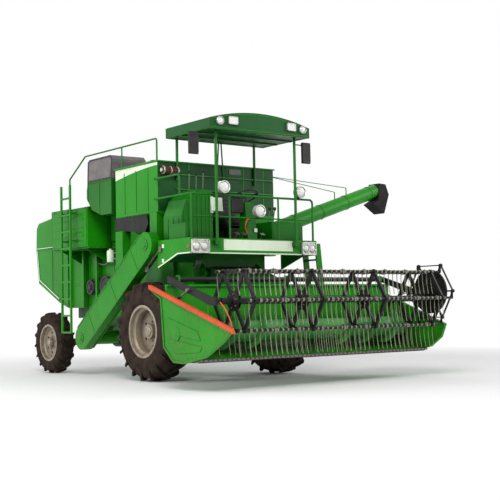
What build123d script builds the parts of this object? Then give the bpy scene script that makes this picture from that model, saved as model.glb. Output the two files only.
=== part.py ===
"""Self-propelled combine harvester with a pick-up reel header and a side unloading auger.

Millimetres. X points to the machine's left, Y to its rear, Z up. The origin is on the
ground under the middle of the front axle.
"""

import os
from math import atan2, cos, hypot, radians, sin

from build123d import *

os.makedirs("parts", exist_ok=True)

# Clearances
shaft_gap = 0.1  # radial gap of a shaft in its bore
seat_gap = 0.3  # gap of curved faces that seat on each other
run_gap = 10  # gap of pieces that move past each other

# Wheels
wheelbase = 3490
front_half_track = 1204
front_tyre_radius = 765
front_tyre_width = 467
front_rim_radius = 381
front_rim_width = 406
rear_half_track = 1110
rear_tyre_radius = 545
rear_tyre_width = 300
rear_rim_radius = 305
rear_rim_width = 254
rim_wall = 12
rim_flange = 25
kingpin_inset = 180  # from the kingpin out to the middle of the rear wheel
kingpin_radius = 25
steer_arm = 150

# Body and frame
body_half_width = 700
rail_width = 80
rail_bottom = front_tyre_radius + 90
rail_height = 125
rail_front = -300
rail_step = 2760  # where the frame narrows ahead of the steered wheels
rear_rail_outer = 560
body_front = -380
body_bottom = 830
deck_top = 2120
deck_thickness = 40
tank_floor = 2290
body_top = 2980
body_rear = 3600
wheel_roof = 1160  # underside of the body over the steered wheels

# Straw hood
hood_half_width = 760
hood_wall = 10
hood_rear = 4900
hood_step = 4250

# Grain tank
tank_right = -1200
tank_left = 1080
tank_front = -170
tank_rear = 1100
tank_shoulder = 2600
tank_top = 3400
tank_wall = 10

# Platform and canopy
platform_right = -1294
platform_left = 1140
platform_front = -1166
platform_rear = -290
skirt_bottom = 1906
skirt_rear_bottom = 1720
skirt_thickness = 30
canopy_bottom = 3738
canopy_width = 1920
canopy_x = -109
canopy_front = -1385
canopy_rear = -215
canopy_edge = 150
canopy_crown = 290
rail_radius = 17
post_radius = 22
top_rail = 2790
mid_rail = 2460

# Header
header_half_width = 2150
end_plate = 40
pivot_y = -450
pivot_z = 1650
pivot_radius = 40
header_top = 1430
knife_y = -2520
knife_z = 420
trough_wall = 30
auger_y = -2050
auger_z = 770
auger_tube_radius = 150
auger_flight_radius = 250
auger_shaft_radius = 40
auger_running = 30  # flights to the trough's sheet
feeder_half_width = 480
back_sheet_y = auger_y + auger_flight_radius + auger_running + trough_wall

# Reel
reel_y = -2780
reel_z = 1187
reel_radius = 450
bat_count = 6
bat_radius = 18
reel_tube_radius = 45
spider_first = -1720
spider_pitch = 1160
spider_count = 4
spider_thickness = 30
ring_lift = 100  # how far the ring's centre stands above the reel's centre
tine_length = 330
tine_width = 9
tine_pitch = spider_pitch / 8
arm_x = 2040
arm_width = 36
arm_height = 90
arm_tube_radius = 35
arm_pivot_y = back_sheet_y - 15
arm_pivot_z = header_top + 75
journal_radius = 30

# Unloading auger
unload_x = 1400
unload_y = 400
unload_z = 2400
unload_radius = 130
unload_length = 2700
unload_rise = 18  # degrees

# Elevator on the right side
elevator_outer = -1385
elevator_width = 170
elevator_depth = 400


def side_profile(points, x_from, x_to, mode=Mode.ADD):
    """Outline in the YZ plane, extruded from x_from to x_to."""
    with BuildSketch(Plane.YZ.offset(x_from)) as outline:
        with BuildLine():
            Polyline(*points, close=True)
        make_face()
    extrude(outline.sketch, amount=x_to - x_from, mode=mode)


def front_profile(points, y_from, y_to, mode=Mode.ADD):
    """Outline in the XZ plane, extruded from y_from to y_to."""
    with BuildSketch(Plane(origin=(0, y_from, 0), x_dir=(1, 0, 0), z_dir=(0, -1, 0))) as outline:
        with BuildLine():
            Polyline(*points, close=True)
        make_face()
    extrude(outline.sketch, amount=y_from - y_to, mode=mode)


def block(x, y, z, mode=Mode.ADD):
    """Box between two corners, each axis given as (low, high)."""
    with Locations(((x[0] + x[1]) / 2, (y[0] + y[1]) / 2, (z[0] + z[1]) / 2)):
        Box(x[1] - x[0], y[1] - y[0], z[1] - z[0], mode=mode)


def bar(start, end, radius, mode=Mode.ADD):
    """Round bar between two points."""
    axis = Vector(*end) - Vector(*start)
    with BuildSketch(Plane(origin=start, z_dir=axis)) as section:
        Circle(radius)
    extrude(section.sketch, amount=axis.length, mode=mode)


def bent_tube(points, bend, radius):
    """Round tube along straight runs joined by arcs."""
    with BuildLine() as route:
        FilletPolyline(*points, radius=bend)
    with BuildSketch(Plane(origin=route.line @ 0, z_dir=route.line % 0)) as section:
        Circle(radius)
    sweep(section.sketch, path=route.line)


def finish(builder, name):
    builder.part.label = name
    export_step(builder.part, f"parts/{name}.step")


# Frame: outer rails beside the body, then inner rails between the steered wheels
rail_top = rail_bottom + rail_height
rail_outer = body_half_width + rail_width
rear_rail_bottom = wheel_roof - rail_height
axle_bracket_gap = 70
with BuildPart() as chassis_frame:
    for side in (-1, 1):
        inner, outer = sorted((side * body_half_width, side * rail_outer))
        block((inner, outer), (rail_front, rail_step), (rail_bottom, rail_top))
        inner, outer = sorted((side * (rear_rail_outer - rail_width), side * rear_rail_outer))
        block((inner, outer), (rail_step, body_rear), (rear_rail_bottom, wheel_roof))
    block((-rail_outer, rail_outer), (rail_step - rail_width, rail_step), (rail_top, wheel_roof))
    for side in (-1, 1):
        inner, outer = sorted((side * body_half_width, side * rail_outer))
        block((inner, outer), (rail_step - rail_width, rail_step), (rail_bottom, wheel_roof))
    block(
        (-rear_rail_outer, rear_rail_outer),
        (wheelbase - 110, wheelbase + 110),
        (rear_rail_bottom - 60, rear_rail_bottom),
    )
    for side in (-1, 1):
        near, far = sorted(
            (wheelbase + side * axle_bracket_gap, wheelbase + side * (axle_bracket_gap + 25))
        )
        block((-120, 120), (near, far), (rear_tyre_radius - 60, rear_rail_bottom - 60))
    bar(
        (0, wheelbase - axle_bracket_gap - 40, rear_tyre_radius),
        (0, wheelbase + axle_bracket_gap + 40, rear_tyre_radius),
        35,
    )
finish(chassis_frame, "chassis_frame")


# Front axle: beam, gearbox and the final drives that reach into the rims
disc_inset = 60  # the front rim's disc lies this far inside the housing's face
hub_bore = 50
front_hub_radius = 110
front_hub_length = 60
lift_foot_x = 330
lift_foot_y = -200
lift_foot_z = 640
lug_half = 45
lift_pin = 25
with BuildPart() as front_axle:
    beam_end = front_half_track - front_tyre_width / 2 - 60
    block((-beam_end, beam_end), (-90, 90), (rail_bottom - 180, rail_bottom))
    bar((-160, 60, front_tyre_radius - 40), (160, 60, front_tyre_radius - 40), 200)
    for side in (-1, 1):
        housing_end = side * (front_half_track - front_hub_length - seat_gap)
        bar((side * (beam_end - 40), 0, front_tyre_radius), (housing_end, 0, front_tyre_radius), 170)
        stub_end = side * (front_half_track + 60)
        bar((housing_end, 0, front_tyre_radius), (stub_end, 0, front_tyre_radius), hub_bore)
        for edge in (-1, 1):
            lug_x = side * lift_foot_x + edge * lug_half
            near, far = sorted((lug_x, lug_x + edge * 20))
            block((near, far), (lift_foot_y - 45, -80), (lift_foot_z - 45, lift_foot_z + 130))
        bar(
            (side * lift_foot_x - lug_half - 30, lift_foot_y, lift_foot_z),
            (side * lift_foot_x + lug_half + 30, lift_foot_y, lift_foot_z),
            lift_pin,
        )
finish(front_axle, "front_axle")


# Rear axle: driven beam on its middle pivot, with a boss for each kingpin
kingpin_x = rear_half_track - kingpin_inset
boss_half = 70
boss_radius = 55
with BuildPart() as rear_axle:
    block(
        (-kingpin_x, kingpin_x),
        (wheelbase - 60, wheelbase + 60),
        (rear_tyre_radius - 60, rear_tyre_radius + 60),
    )
    bar((250, wheelbase - 150, rear_tyre_radius), (250, wheelbase + 100, rear_tyre_radius), 125)
    bar((250, wheelbase - 210, rear_tyre_radius), (250, wheelbase - 150, rear_tyre_radius), 60)
    for side in (-1, 1):
        bar(
            (side * kingpin_x, wheelbase, rear_tyre_radius - boss_half),
            (side * kingpin_x, wheelbase, rear_tyre_radius + boss_half),
            boss_radius,
        )
    for side in (-1, 1):
        bar(
            (side * kingpin_x, wheelbase, rear_tyre_radius - boss_half),
            (side * kingpin_x, wheelbase, rear_tyre_radius + boss_half),
            kingpin_radius + shaft_gap,
            mode=Mode.SUBTRACT,
        )
    bar(
        (0, wheelbase - 60, rear_tyre_radius),
        (0, wheelbase + 60, rear_tyre_radius),
        35 + shaft_gap,
        mode=Mode.SUBTRACT,
    )
finish(rear_axle, "rear_axle")


def knuckle(side, name):
    """Steering knuckle: fork round the axle's boss, spindle housing and steering arm."""
    fork = boss_half + seat_gap
    outboard = 85
    with BuildPart() as piece:
        for level in (-1, 1):
            low, high = sorted((level * fork, level * (fork + 25)))
            near, far = sorted((side * (kingpin_x - 35), side * (kingpin_x + outboard)))
            block(
                (near, far),
                (wheelbase - 45, wheelbase + 45),
                (rear_tyre_radius + low, rear_tyre_radius + high),
            )
        near, far = sorted((side * (kingpin_x + 60), side * (kingpin_x + outboard)))
        block(
            (near, far),
            (wheelbase - 80, wheelbase + 80),
            (rear_tyre_radius - fork - 25, rear_tyre_radius + fork + 25),
        )
        bar(
            (side * kingpin_x, wheelbase, rear_tyre_radius - fork - 40),
            (side * kingpin_x, wheelbase, rear_tyre_radius + fork + 40),
            kingpin_radius,
        )
        hub_face = side * (rear_half_track - rear_hub_inner - seat_gap)
        bar((side * (kingpin_x + outboard), wheelbase, rear_tyre_radius), (hub_face, wheelbase, rear_tyre_radius), 85)
        spindle_end = side * (rear_half_track + 30)
        bar((hub_face, wheelbase, rear_tyre_radius), (spindle_end, wheelbase, rear_tyre_radius), rear_hub_bore)
        near, far = sorted((side * (kingpin_x - 30), side * (kingpin_x + 30)))
        block(
            (near, far),
            (wheelbase, wheelbase + steer_arm + 30),
            (rear_tyre_radius - fork - 25, rear_tyre_radius - fork),
        )
    finish(piece, name)


rear_hub_inner = 20
rear_hub_bore = 40
knuckle(-1, "knuckle_right")
knuckle(1, "knuckle_left")


# Tie rod: lies on the two steering arms behind the axle
tie_eye = 28
tie_eye_height = 32
tie_z = rear_tyre_radius - boss_half - seat_gap + seat_gap + tie_eye_height / 2
with BuildPart() as tie_rod:
    tie_y = wheelbase + steer_arm
    bar((-kingpin_x, tie_y, tie_z), (kingpin_x, tie_y, tie_z), 14)
    for side in (-1, 1):
        bar(
            (side * kingpin_x, tie_y, tie_z - tie_eye_height / 2),
            (side * kingpin_x, tie_y, tie_z + tie_eye_height / 2),
            tie_eye,
        )
finish(tie_rod, "tie_rod")


def wheel_plane(side, axle_y, half_track, radius):
    """Plane through the wheel's axis: x runs outwards along the axle, y is the radius."""
    return Plane(origin=(side * half_track, axle_y, radius), x_dir=(side, 0, 0), z_dir=(0, -side, 0))


def rim(side, name, axle_y, half_track, wheel_radius, bead, width, disc, hub, bore, hub_in, hub_out):
    """Dished rim: stepped barrel, disc with holes and a hub with a blind bore."""
    half = width / 2
    flange = bead + rim_flange
    well = bead - 35
    wall = rim_wall
    with BuildPart() as piece:
        with BuildSketch(wheel_plane(side, axle_y, half_track, wheel_radius)) as section:
            with BuildLine():
                Polyline(
                    (-half, bead - wall),
                    (-half, flange),
                    (-half + wall, flange),
                    (-half + wall, bead),
                    (-half + 70, bead),
                    (-half + 95, well),
                    (half - 95, well),
                    (half - 70, bead),
                    (half - wall, bead),
                    (half - wall, flange),
                    (half, flange),
                    (half, bead - wall),
                    (half - 60, bead - wall),
                    (half - 85, well - wall),
                    (-half + 85, well - wall),
                    (-half + 60, bead - wall),
                    close=True,
                )
            make_face()
            with Locations((disc, (well - 6) / 2)):
                Rectangle(16, well - 6)
            with Locations(((hub_out - hub_in) / 2, hub / 2)):
                Rectangle(hub_out + hub_in, hub)
        revolve(section.sketch, axis=Axis((side * half_track, axle_y, wheel_radius), (1, 0, 0)))
        hole_ring = (hub + well) / 2
        for turn in range(6):
            angle = radians(60 * turn + 30)
            hole_y = axle_y + hole_ring * cos(angle)
            hole_z = wheel_radius + hole_ring * sin(angle)
            middle = side * (half_track + disc)
            bar((middle - 20, hole_y, hole_z), (middle + 20, hole_y, hole_z), 26, mode=Mode.SUBTRACT)
        bore_start = side * (half_track - hub_in)
        bore_end = side * (half_track + hub_out - 25)
        bar(
            (bore_start, axle_y, wheel_radius),
            (bore_end, axle_y, wheel_radius),
            bore + shaft_gap,
            mode=Mode.SUBTRACT,
        )
    finish(piece, name)


def tyre(side, name, axle_y, half_track, radius, tyre_width, bead, width):
    """Tyre on its bead seats, out to the tips of its lugs."""
    half = width / 2 - rim_wall - seat_gap
    bulge = tyre_width / 2
    seat = bead + seat_gap
    shoulder = radius - 30
    with BuildPart() as piece:
        with BuildSketch(wheel_plane(side, axle_y, half_track, radius)) as section:
            with BuildLine():
                Line((-half, seat), (half, seat))
                Line((half, seat), (half, seat + rim_flange))
                ThreePointArc(
                    (half, seat + rim_flange),
                    (bulge, (seat + radius) / 2),
                    (bulge - 15, shoulder),
                )
                ThreePointArc((bulge - 15, shoulder), (0, radius), (-bulge + 15, shoulder))
                ThreePointArc(
                    (-bulge + 15, shoulder),
                    (-bulge, (seat + radius) / 2),
                    (-half, seat + rim_flange),
                )
                Line((-half, seat + rim_flange), (-half, seat))
            make_face()
        revolve(section.sketch, axis=Axis((side * half_track, axle_y, radius), (1, 0, 0)))
    finish(piece, name)


for side, hand in ((-1, "right"), (1, "left")):
    rim(
        side, f"front_rim_{hand}", 0, front_half_track, front_tyre_radius, front_rim_radius,
        front_rim_width, 8, front_hub_radius, hub_bore, front_hub_length, 95,
    )
    tyre(
        side, f"front_tyre_{hand}", 0, front_half_track, front_tyre_radius, front_tyre_width,
        front_rim_radius, front_rim_width,
    )
    rim(
        side, f"rear_rim_{hand}", wheelbase, rear_half_track, rear_tyre_radius, rear_rim_radius,
        rear_rim_width, 40, 80, rear_hub_bore, rear_hub_inner, 105,
    )
    tyre(
        side, f"rear_tyre_{hand}", wheelbase, rear_half_track, rear_tyre_radius, rear_tyre_width,
        rear_rim_radius, rear_rim_width,
    )


# Threshing body: side plates, fan housing and the two cross auger troughs
fan_y = 650
fan_z = 1060
fan_radius = 330
trough_radius = 130
foot_y = 1990  # foot and head of the elevator
foot_z = 652
head_y = -60
head_z = 2087
troughs = ((1480, 850), (foot_y, foot_z + 70))  # y, z of each cross auger
bracket_x = feeder_half_width + 40
with BuildPart() as thresher_body:
    with BuildSketch(Plane.YZ.offset(-body_half_width)) as outline:
        with BuildLine():
            Polyline(
                (body_front, rail_top + 5),
                (body_front, deck_top - deck_thickness),
                (tank_front, deck_top - deck_thickness),
                (tank_front, tank_floor),
                (1180, tank_floor),
                (1180, 2450),
                (2080, 2450),
                (2080, body_top),
                (body_rear, body_top),
                (body_rear, wheel_roof),
                (rail_step, wheel_roof),
                (rail_step, rail_top),
                (2600, body_bottom),
                (1400, body_bottom),
                (1000, rail_top),
                close=True,
            )
        make_face()
        with Locations((fan_y, fan_z)):
            Circle(fan_radius)
        with Locations(*troughs):
            Circle(trough_radius)
    extrude(outline.sketch, amount=2 * body_half_width)
    # The cross member of the frame passes through a notch
    block(
        (-body_half_width, body_half_width),
        (rail_step - rail_width, rail_step),
        (rail_top - 100, wheel_roof),
        mode=Mode.SUBTRACT,
    )
    # Bearing brackets of the feeder house
    for side in (-1, 1):
        near, far = sorted((side * bracket_x, side * (bracket_x + 40)))
        side_profile(
            (
                (body_front, pivot_z - 150),
                (pivot_y, pivot_z - 75),
                (pivot_y - 75, pivot_z),
                (pivot_y, pivot_z + 75),
                (body_front, pivot_z + 150),
            ),
            near,
            far,
        )
    bar(
        (-bracket_x - 50, pivot_y, pivot_z),
        (bracket_x + 50, pivot_y, pivot_z),
        pivot_radius + shaft_gap,
        mode=Mode.SUBTRACT,
    )
finish(thresher_body, "thresher_body")


# Straw hood: open below where the straw leaves
with BuildPart() as straw_hood:
    hood_outline = (
        (body_rear, wheel_roof),
        (3960, 1270),
        (4800, 1650),
        (hood_rear, 2290),
        (hood_rear - 20, 2700),
        (hood_rear - 110, 2800),
        (hood_step, 2860),
        (hood_step, body_top),
        (body_rear, body_top),
    )
    hood_hollow = (
        (body_rear + hood_wall, wheel_roof - 40),
        (3960, 1230),
        (4800 - hood_wall, 1600),
        (hood_rear - hood_wall, 2290),
        (hood_rear - 20 - hood_wall, 2690),
        (hood_rear - 115, 2790),
        (hood_step - hood_wall, 2850),
        (hood_step - hood_wall, body_top - hood_wall),
        (body_rear + hood_wall, body_top - hood_wall),
    )
    side_profile(hood_outline, -hood_half_width, hood_half_width)
    side_profile(hood_hollow, hood_wall - hood_half_width, hood_half_width - hood_wall, Mode.SUBTRACT)
finish(straw_hood, "straw_hood")


# Grain tank: open bin with a hopper floor
hopper_right = -body_half_width
hopper_left = body_half_width
with BuildPart() as grain_tank:
    outer = (
        (tank_right, tank_top),
        (tank_right, tank_shoulder),
        (hopper_right, tank_floor),
        (hopper_left, tank_floor),
        (tank_left, tank_shoulder - 80),
        (tank_left, tank_top),
    )
    inner = (
        (tank_right + tank_wall, tank_top + 10),
        (tank_right + tank_wall, tank_shoulder + 6),
        (hopper_right + 3, tank_floor + tank_wall),
        (hopper_left - 3, tank_floor + tank_wall),
        (tank_left - tank_wall, tank_shoulder - 74),
        (tank_left - tank_wall, tank_top + 10),
    )
    front_profile(outer, tank_front, tank_rear)
    front_profile(inner, tank_front + tank_wall, tank_rear - tank_wall, Mode.SUBTRACT)
finish(grain_tank, "grain_tank")


# Engine block on the body, behind the tank
engine_front = 1240
engine_rear = 2040
with BuildPart() as engine:
    block((-550, 550), (engine_front, engine_rear), (2450, 3280))
finish(engine, "engine")


# Radiator screen box at the right, with a louvred front
screen_right = -1200
screen_left = -560
screen_bottom = 3270
screen_top = 3660
with BuildPart() as radiator_screen:
    side_profile(
        (
            (1240, screen_bottom),
            (1200, 3600),
            (1260, screen_top),
            (1960, screen_top),
            (2020, 3620),
            (2040, screen_bottom),
        ),
        screen_right,
        screen_left,
    )
finish(radiator_screen, "radiator_screen")


# Air duct below the screen, narrowing down to the body's side
with BuildPart() as engine_duct:
    side_profile(
        (
            (1240, screen_bottom),
            (2040, screen_bottom),
            (2080, 3150),
            (2080, tank_floor),
            (1700, tank_floor),
            (1240, 2700),
        ),
        screen_right,
        -body_half_width,
    )
    block((-body_half_width, screen_left), (1240, 2040), (2450, screen_bottom))
finish(engine_duct, "engine_duct")


# Side cabinets beside the straw walkers: belt cover at the right, fuel tank at the left
cabinet_outer = 1180
with BuildPart() as side_boxes:
    side_profile(
        ((2100, 2200), (3400, 2200), (3400, 2880), (2100, 2880)),
        -cabinet_outer,
        -body_half_width,
    )
    side_profile(
        ((2000, 2250), (3300, 2250), (3300, 2880), (2000, 2880)),
        body_half_width,
        cabinet_outer,
    )
finish(side_boxes, "side_boxes")


# Elevators: clean grain up the right side with its spout, returns duct beside it
elevator_inner = elevator_outer + elevator_width
hopper_slope = (tank_shoulder - tank_floor) / (hopper_right - tank_right)
spout_left = -1000
with BuildPart() as elevators:
    run = hypot(head_y - foot_y, head_z - foot_z)
    slope = Plane(
        origin=(elevator_outer, foot_y, foot_z),
        x_dir=(0, (head_y - foot_y) / run, (head_z - foot_z) / run),
        z_dir=(1, 0, 0),
    )
    with BuildSketch(slope) as casing:
        with Locations((run / 2, 0)):
            Rectangle(run, elevator_depth)
        with Locations((0, 0), (run, 0)):
            Circle(elevator_depth / 2)
    extrude(casing.sketch, amount=elevator_width)
    bar((elevator_inner, foot_y, foot_z), (-body_half_width, foot_y, foot_z), 110)
    front_profile(
        (
            (elevator_inner, head_z - 80),
            (elevator_inner, tank_shoulder),
            (tank_right, tank_shoulder),
            (spout_left, tank_shoulder - hopper_slope * (spout_left - tank_right)),
            (spout_left, head_z - 80),
        ),
        head_y - 90,
        head_y + 110,
    )
    block((elevator_inner, elevator_inner + 155), (880, 1100), (1500, 2370))
finish(elevators, "elevators")


# Black box under the tank's right side, below the hopper's slope
box_right = tank_right + 20
box_left = -980
with BuildPart() as battery_box:
    side_profile(
        ((250, 2310), (1150, 2400), (1150, 2590), (200, 2590), (150, 2450)), box_right, box_left
    )
    front_profile(
        (
            (tank_right, tank_shoulder),
            (0, tank_shoulder - hopper_slope * -tank_right),
            (0, tank_shoulder + 100),
            (tank_right, tank_shoulder + 100),
        ),
        tank_front,
        tank_rear + 100,
        Mode.SUBTRACT,
    )
finish(battery_box, "battery_box")


# Driver's platform: deck, skirts and cantilever beams
deck_bottom = deck_top - deck_thickness
with BuildPart() as platform:
    block(
        (platform_right, platform_left), (platform_front, platform_rear), (deck_bottom, deck_top)
    )
    block(
        (platform_right, platform_left),
        (platform_front, platform_front + skirt_thickness),
        (skirt_bottom, deck_top + 20),
    )
    side_outline = (
        (platform_front, deck_top + 20),
        (platform_front, skirt_bottom),
        (platform_front + 330, skirt_bottom),
        (-290, skirt_rear_bottom),
        (-290, deck_top + 20),
    )
    side_profile(side_outline, platform_right, platform_right + skirt_thickness)
    side_profile(side_outline, platform_left - skirt_thickness, platform_left)
    for x in (-600, 560):
        block((x, x + 60), (platform_front + skirt_thickness, body_front), (deck_bottom - 100, deck_bottom))
finish(platform, "platform")


# Consoles beside the driver and the steering pedestal
pedestal_y = -860
pedestal_top = 2700
column_tilt = radians(25)
with BuildPart() as console:
    front_profile(
        ((-1200, deck_top), (-620, deck_top), (-620, 2900), (-900, 2900), (-1100, 2740), (-1200, 2500)),
        -800,
        -320,
    )
    block((450, 1080), (-900, -320), (deck_top, 2440))
    side_profile(
        (
            (pedestal_y - 130, deck_top),
            (pedestal_y + 130, deck_top),
            (pedestal_y + 60 * cos(column_tilt), pedestal_top - 60 * sin(column_tilt)),
            (pedestal_y - 60 * cos(column_tilt), pedestal_top + 60 * sin(column_tilt)),
        ),
        -90,
        90,
    )
finish(console, "console")


# Steering wheel on its column, square to the pedestal's top
column_axis = Vector(0, sin(column_tilt), cos(column_tilt))
column_base = Vector(0, pedestal_y, pedestal_top) + column_axis * seat_gap
with BuildPart() as steering_wheel:
    hub_top = column_base + column_axis * 140
    bar(tuple(column_base), tuple(hub_top), 20)
    wheel_face = Plane(origin=hub_top, x_dir=(1, 0, 0), z_dir=column_axis)
    with BuildSketch(wheel_face) as spokes:
        for turn in range(3):
            with BuildLine():
                Polyline(
                    *[
                        (r * cos(radians(120 * turn + 90)) - w * sin(radians(120 * turn + 90)),
                         r * sin(radians(120 * turn + 90)) + w * cos(radians(120 * turn + 90)))
                        for r, w in ((0, -13), (205, -13), (205, 13), (0, 13))
                    ],
                    close=True,
                )
            make_face()
    extrude(spokes.sketch, amount=10)
    ring_middle = hub_top + column_axis * 5
    with BuildSketch(Plane(origin=ring_middle, x_dir=(1, 0, 0), z_dir=wheel_face.y_dir)) as ring:
        with Locations((205, 0)):
            Circle(14)
    revolve(ring.sketch, axis=Axis(ring_middle, column_axis))
finish(steering_wheel, "steering_wheel")


# Driver's seat: cushion, back and base
with BuildPart() as seat:
    block((-150, 150), (-560, -280), (deck_top, 2400))
    block((-240, 240), (-640, -200), (2400, 2500))
    side_profile(((-290, 2500), (-200, 2500), (-175, 2560), (-175, 2960), (-250, 2960)), -230, 230)
finish(seat, "seat")


# Canopy: arched fascia with thin roof sheet over the driver
canopy_left = canopy_x + canopy_width / 2
canopy_right = canopy_x - canopy_width / 2
with BuildPart() as canopy:
    with BuildSketch(
        Plane(origin=(0, canopy_front, 0), x_dir=(1, 0, 0), z_dir=(0, -1, 0))
    ) as arch:
        with BuildLine():
            Line((canopy_right, canopy_bottom), (canopy_left, canopy_bottom))
            Line((canopy_left, canopy_bottom), (canopy_left, canopy_bottom + canopy_edge))
            ThreePointArc(
                (canopy_left, canopy_bottom + canopy_edge),
                (canopy_x, canopy_bottom + canopy_crown),
                (canopy_right, canopy_bottom + canopy_edge),
            )
            Line((canopy_right, canopy_bottom + canopy_edge), (canopy_right, canopy_bottom))
        make_face()
    extrude(arch.sketch, amount=canopy_front - canopy_rear)
finish(canopy, "canopy")


# Posts of the canopy, on the deck and on the tank's front edge
post_x = (-850, 670)
stay_radius = 12
with BuildPart() as canopy_posts:
    for x in post_x:
        bar((x, platform_front - 60, canopy_bottom), (x, platform_front - 60, deck_top - 60), post_radius)
        block((x - 40, x + 40), (platform_front - 85, platform_front), (deck_top - 80, deck_top - 20))
    for x in post_x:
        bar((x, tank_front - post_radius, tank_top - 300), (x, tank_front - post_radius, canopy_bottom), post_radius)
    for foot_x, head_x in ((-90, -40), (50, 10)):
        bar(
            (foot_x, tank_front - stay_radius - seat_gap, tank_top - 300),
            (head_x, tank_front - stay_radius - seat_gap, canopy_bottom - stay_radius / 12),
            stay_radius,
        )
finish(canopy_posts, "canopy_posts")


# Hand rails round the platform, and the long rail over the tank to the rear ladder
ladder_right = -1330
ladder_front = 2440
ladder_rear = 2800
ladder_top = 3280
side_rail_z = 3740
with BuildPart() as hand_rails:
    rail_y = platform_front + 15
    rail_right = platform_right + 40
    rail_left = 1080
    tab_y = tank_front - 12
    for z in (top_rail, top_rail + 310):
        block((rail_right - rail_radius, tank_right + 30), (tab_y, tank_front), (z - 17, z + 17))
    bent_tube(
        (
            (rail_right, tab_y, top_rail),
            (rail_right, rail_y, top_rail),
            (rail_left, rail_y, top_rail),
            (rail_left, rail_y, deck_top + 20),
        ),
        60,
        rail_radius,
    )
    bent_tube(
        (
            (rail_right, tab_y, top_rail + 310),
            (rail_right, -850, top_rail + 310),
            (rail_right, -850, top_rail),
        ),
        60,
        rail_radius - 3,
    )
    bar((rail_right, rail_y, mid_rail), (rail_left, rail_y, mid_rail), 12)
    for x in (rail_right, -560, 380):
        bar((x, rail_y, deck_top + 20), (x, rail_y, top_rail), rail_radius - 2)
    rail_x = tank_right + tank_wall / 2
    post_y = 900
    bent_tube(
        (
            (rail_x, tank_front + 20, tank_top),
            (rail_x, tank_front + 20, side_rail_z),
            (rail_x, 2120, side_rail_z),
            (ladder_right + 15, ladder_front + 20, ladder_top + 90),
            (ladder_right + 15, ladder_front + 20, ladder_top),
        ),
        40,
        14,
    )
    bar((rail_x, post_y, tank_top), (rail_x, post_y, side_rail_z), 12)
finish(hand_rails, "hand_rails")


# Mirrors on arms from the canopy posts
mirror_y = platform_front - 60
with BuildPart() as mirrors:
    for side, post, x in ((-1, post_x[0], -1270), (1, post_x[1], 880)):
        bent_tube(
            (
                (post + side * (post_radius + seat_gap), mirror_y, 3640),
                (x + side * 40, mirror_y, 3640),
                (x + side * 40, mirror_y, 3400),
            ),
            40,
            9,
        )
        block((x - 80, x + 80), (mirror_y - 45, mirror_y - 9), (3350, 3680))
finish(mirrors, "mirrors")


# Lamps: work lamps on the rails, lamps in the canopy's fascia and the headlamp clusters
lamp_radius = 95
work_lamps = ((-690, top_rail + rail_radius), (-20, mid_rail + 12), (800, top_rail + rail_radius))
with BuildPart() as lamps:
    for x, z in work_lamps:
        bar(
            (x, platform_front + 30, z + lamp_radius),
            (x, platform_front - 50, z + lamp_radius),
            lamp_radius,
        )
    for x0, x1 in ((platform_right + 10, platform_right + 320), (platform_left - 320, platform_left - 40)):
        block((x0, x1), (platform_front - 30, platform_front), (skirt_bottom + 10, deck_top - 10))
    for x, z in ((canopy_right + 180, canopy_bottom + 115), (canopy_left - 150, canopy_bottom + 115)):
        bar((x, canopy_front, z), (x, canopy_front - 25, z), 62)
    for x in (canopy_right + 420, canopy_left - 380):
        block((x - 80, x + 80), (canopy_front - 25, canopy_front), (canopy_bottom + 80, canopy_bottom + 190))
finish(lamps, "lamps")


# Ladders: to the platform at the left, to the rear deck at the right
step_top = deck_top - 20
left_ladder_front = -1130
left_ladder_rear = -790
stile = 25
with BuildPart() as ladders:
    for y in (left_ladder_front, left_ladder_rear - stile):
        front_profile(
            (
                (platform_left, step_top),
                (platform_left + 110, step_top),
                (platform_left + 230, 900),
                (platform_left + 120, 900),
            ),
            y,
            y + stile,
        )
    for step in range(4):
        z = 960 + 290 * step
        x = platform_left + 130 - 0.1 * (z - 900)
        block((x, x + 90), (left_ladder_front + stile, left_ladder_rear - stile), (z, z + 25))
    for y in (ladder_front, ladder_rear - 40):
        block((ladder_right, ladder_right + 30), (y, y + 40), (720, ladder_top))
        for z in (2300, 2780):
            block((ladder_right + 30, -cabinet_outer), (y, y + 40), (z, z + 30))
    for step in range(9):
        z = 720 + 290 * step
        block((ladder_right, ladder_right + 30), (ladder_front + 40, ladder_rear - 40), (z, z + 30))
finish(ladders, "ladders")


# Silencer at the tank's right front corner
silencer_radius = 62
silencer_y = tank_front - silencer_radius - 15
with BuildPart() as silencer:
    bar((-1160, silencer_y, 3240), (-885, silencer_y, 3240), silencer_radius)
    for x in (-1100, -940):
        bar((x, silencer_y, 3240), (x, tank_front, 3240), 20)
finish(silencer, "silencer")


# Fixed part of the unloading auger: cross tube and gear housing
swing_joint = unload_z - unload_radius - 20
with BuildPart() as unload_elbow:
    bar((body_half_width, unload_y, 2130), (unload_x, unload_y, 2130), unload_radius - 10)
    bar((unload_x, unload_y, 1980), (unload_x, unload_y, swing_joint), unload_radius)
    bar((unload_x, unload_y, swing_joint - 25), (unload_x, unload_y, swing_joint), unload_radius + 30)
finish(unload_elbow, "unload_elbow")


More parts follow.
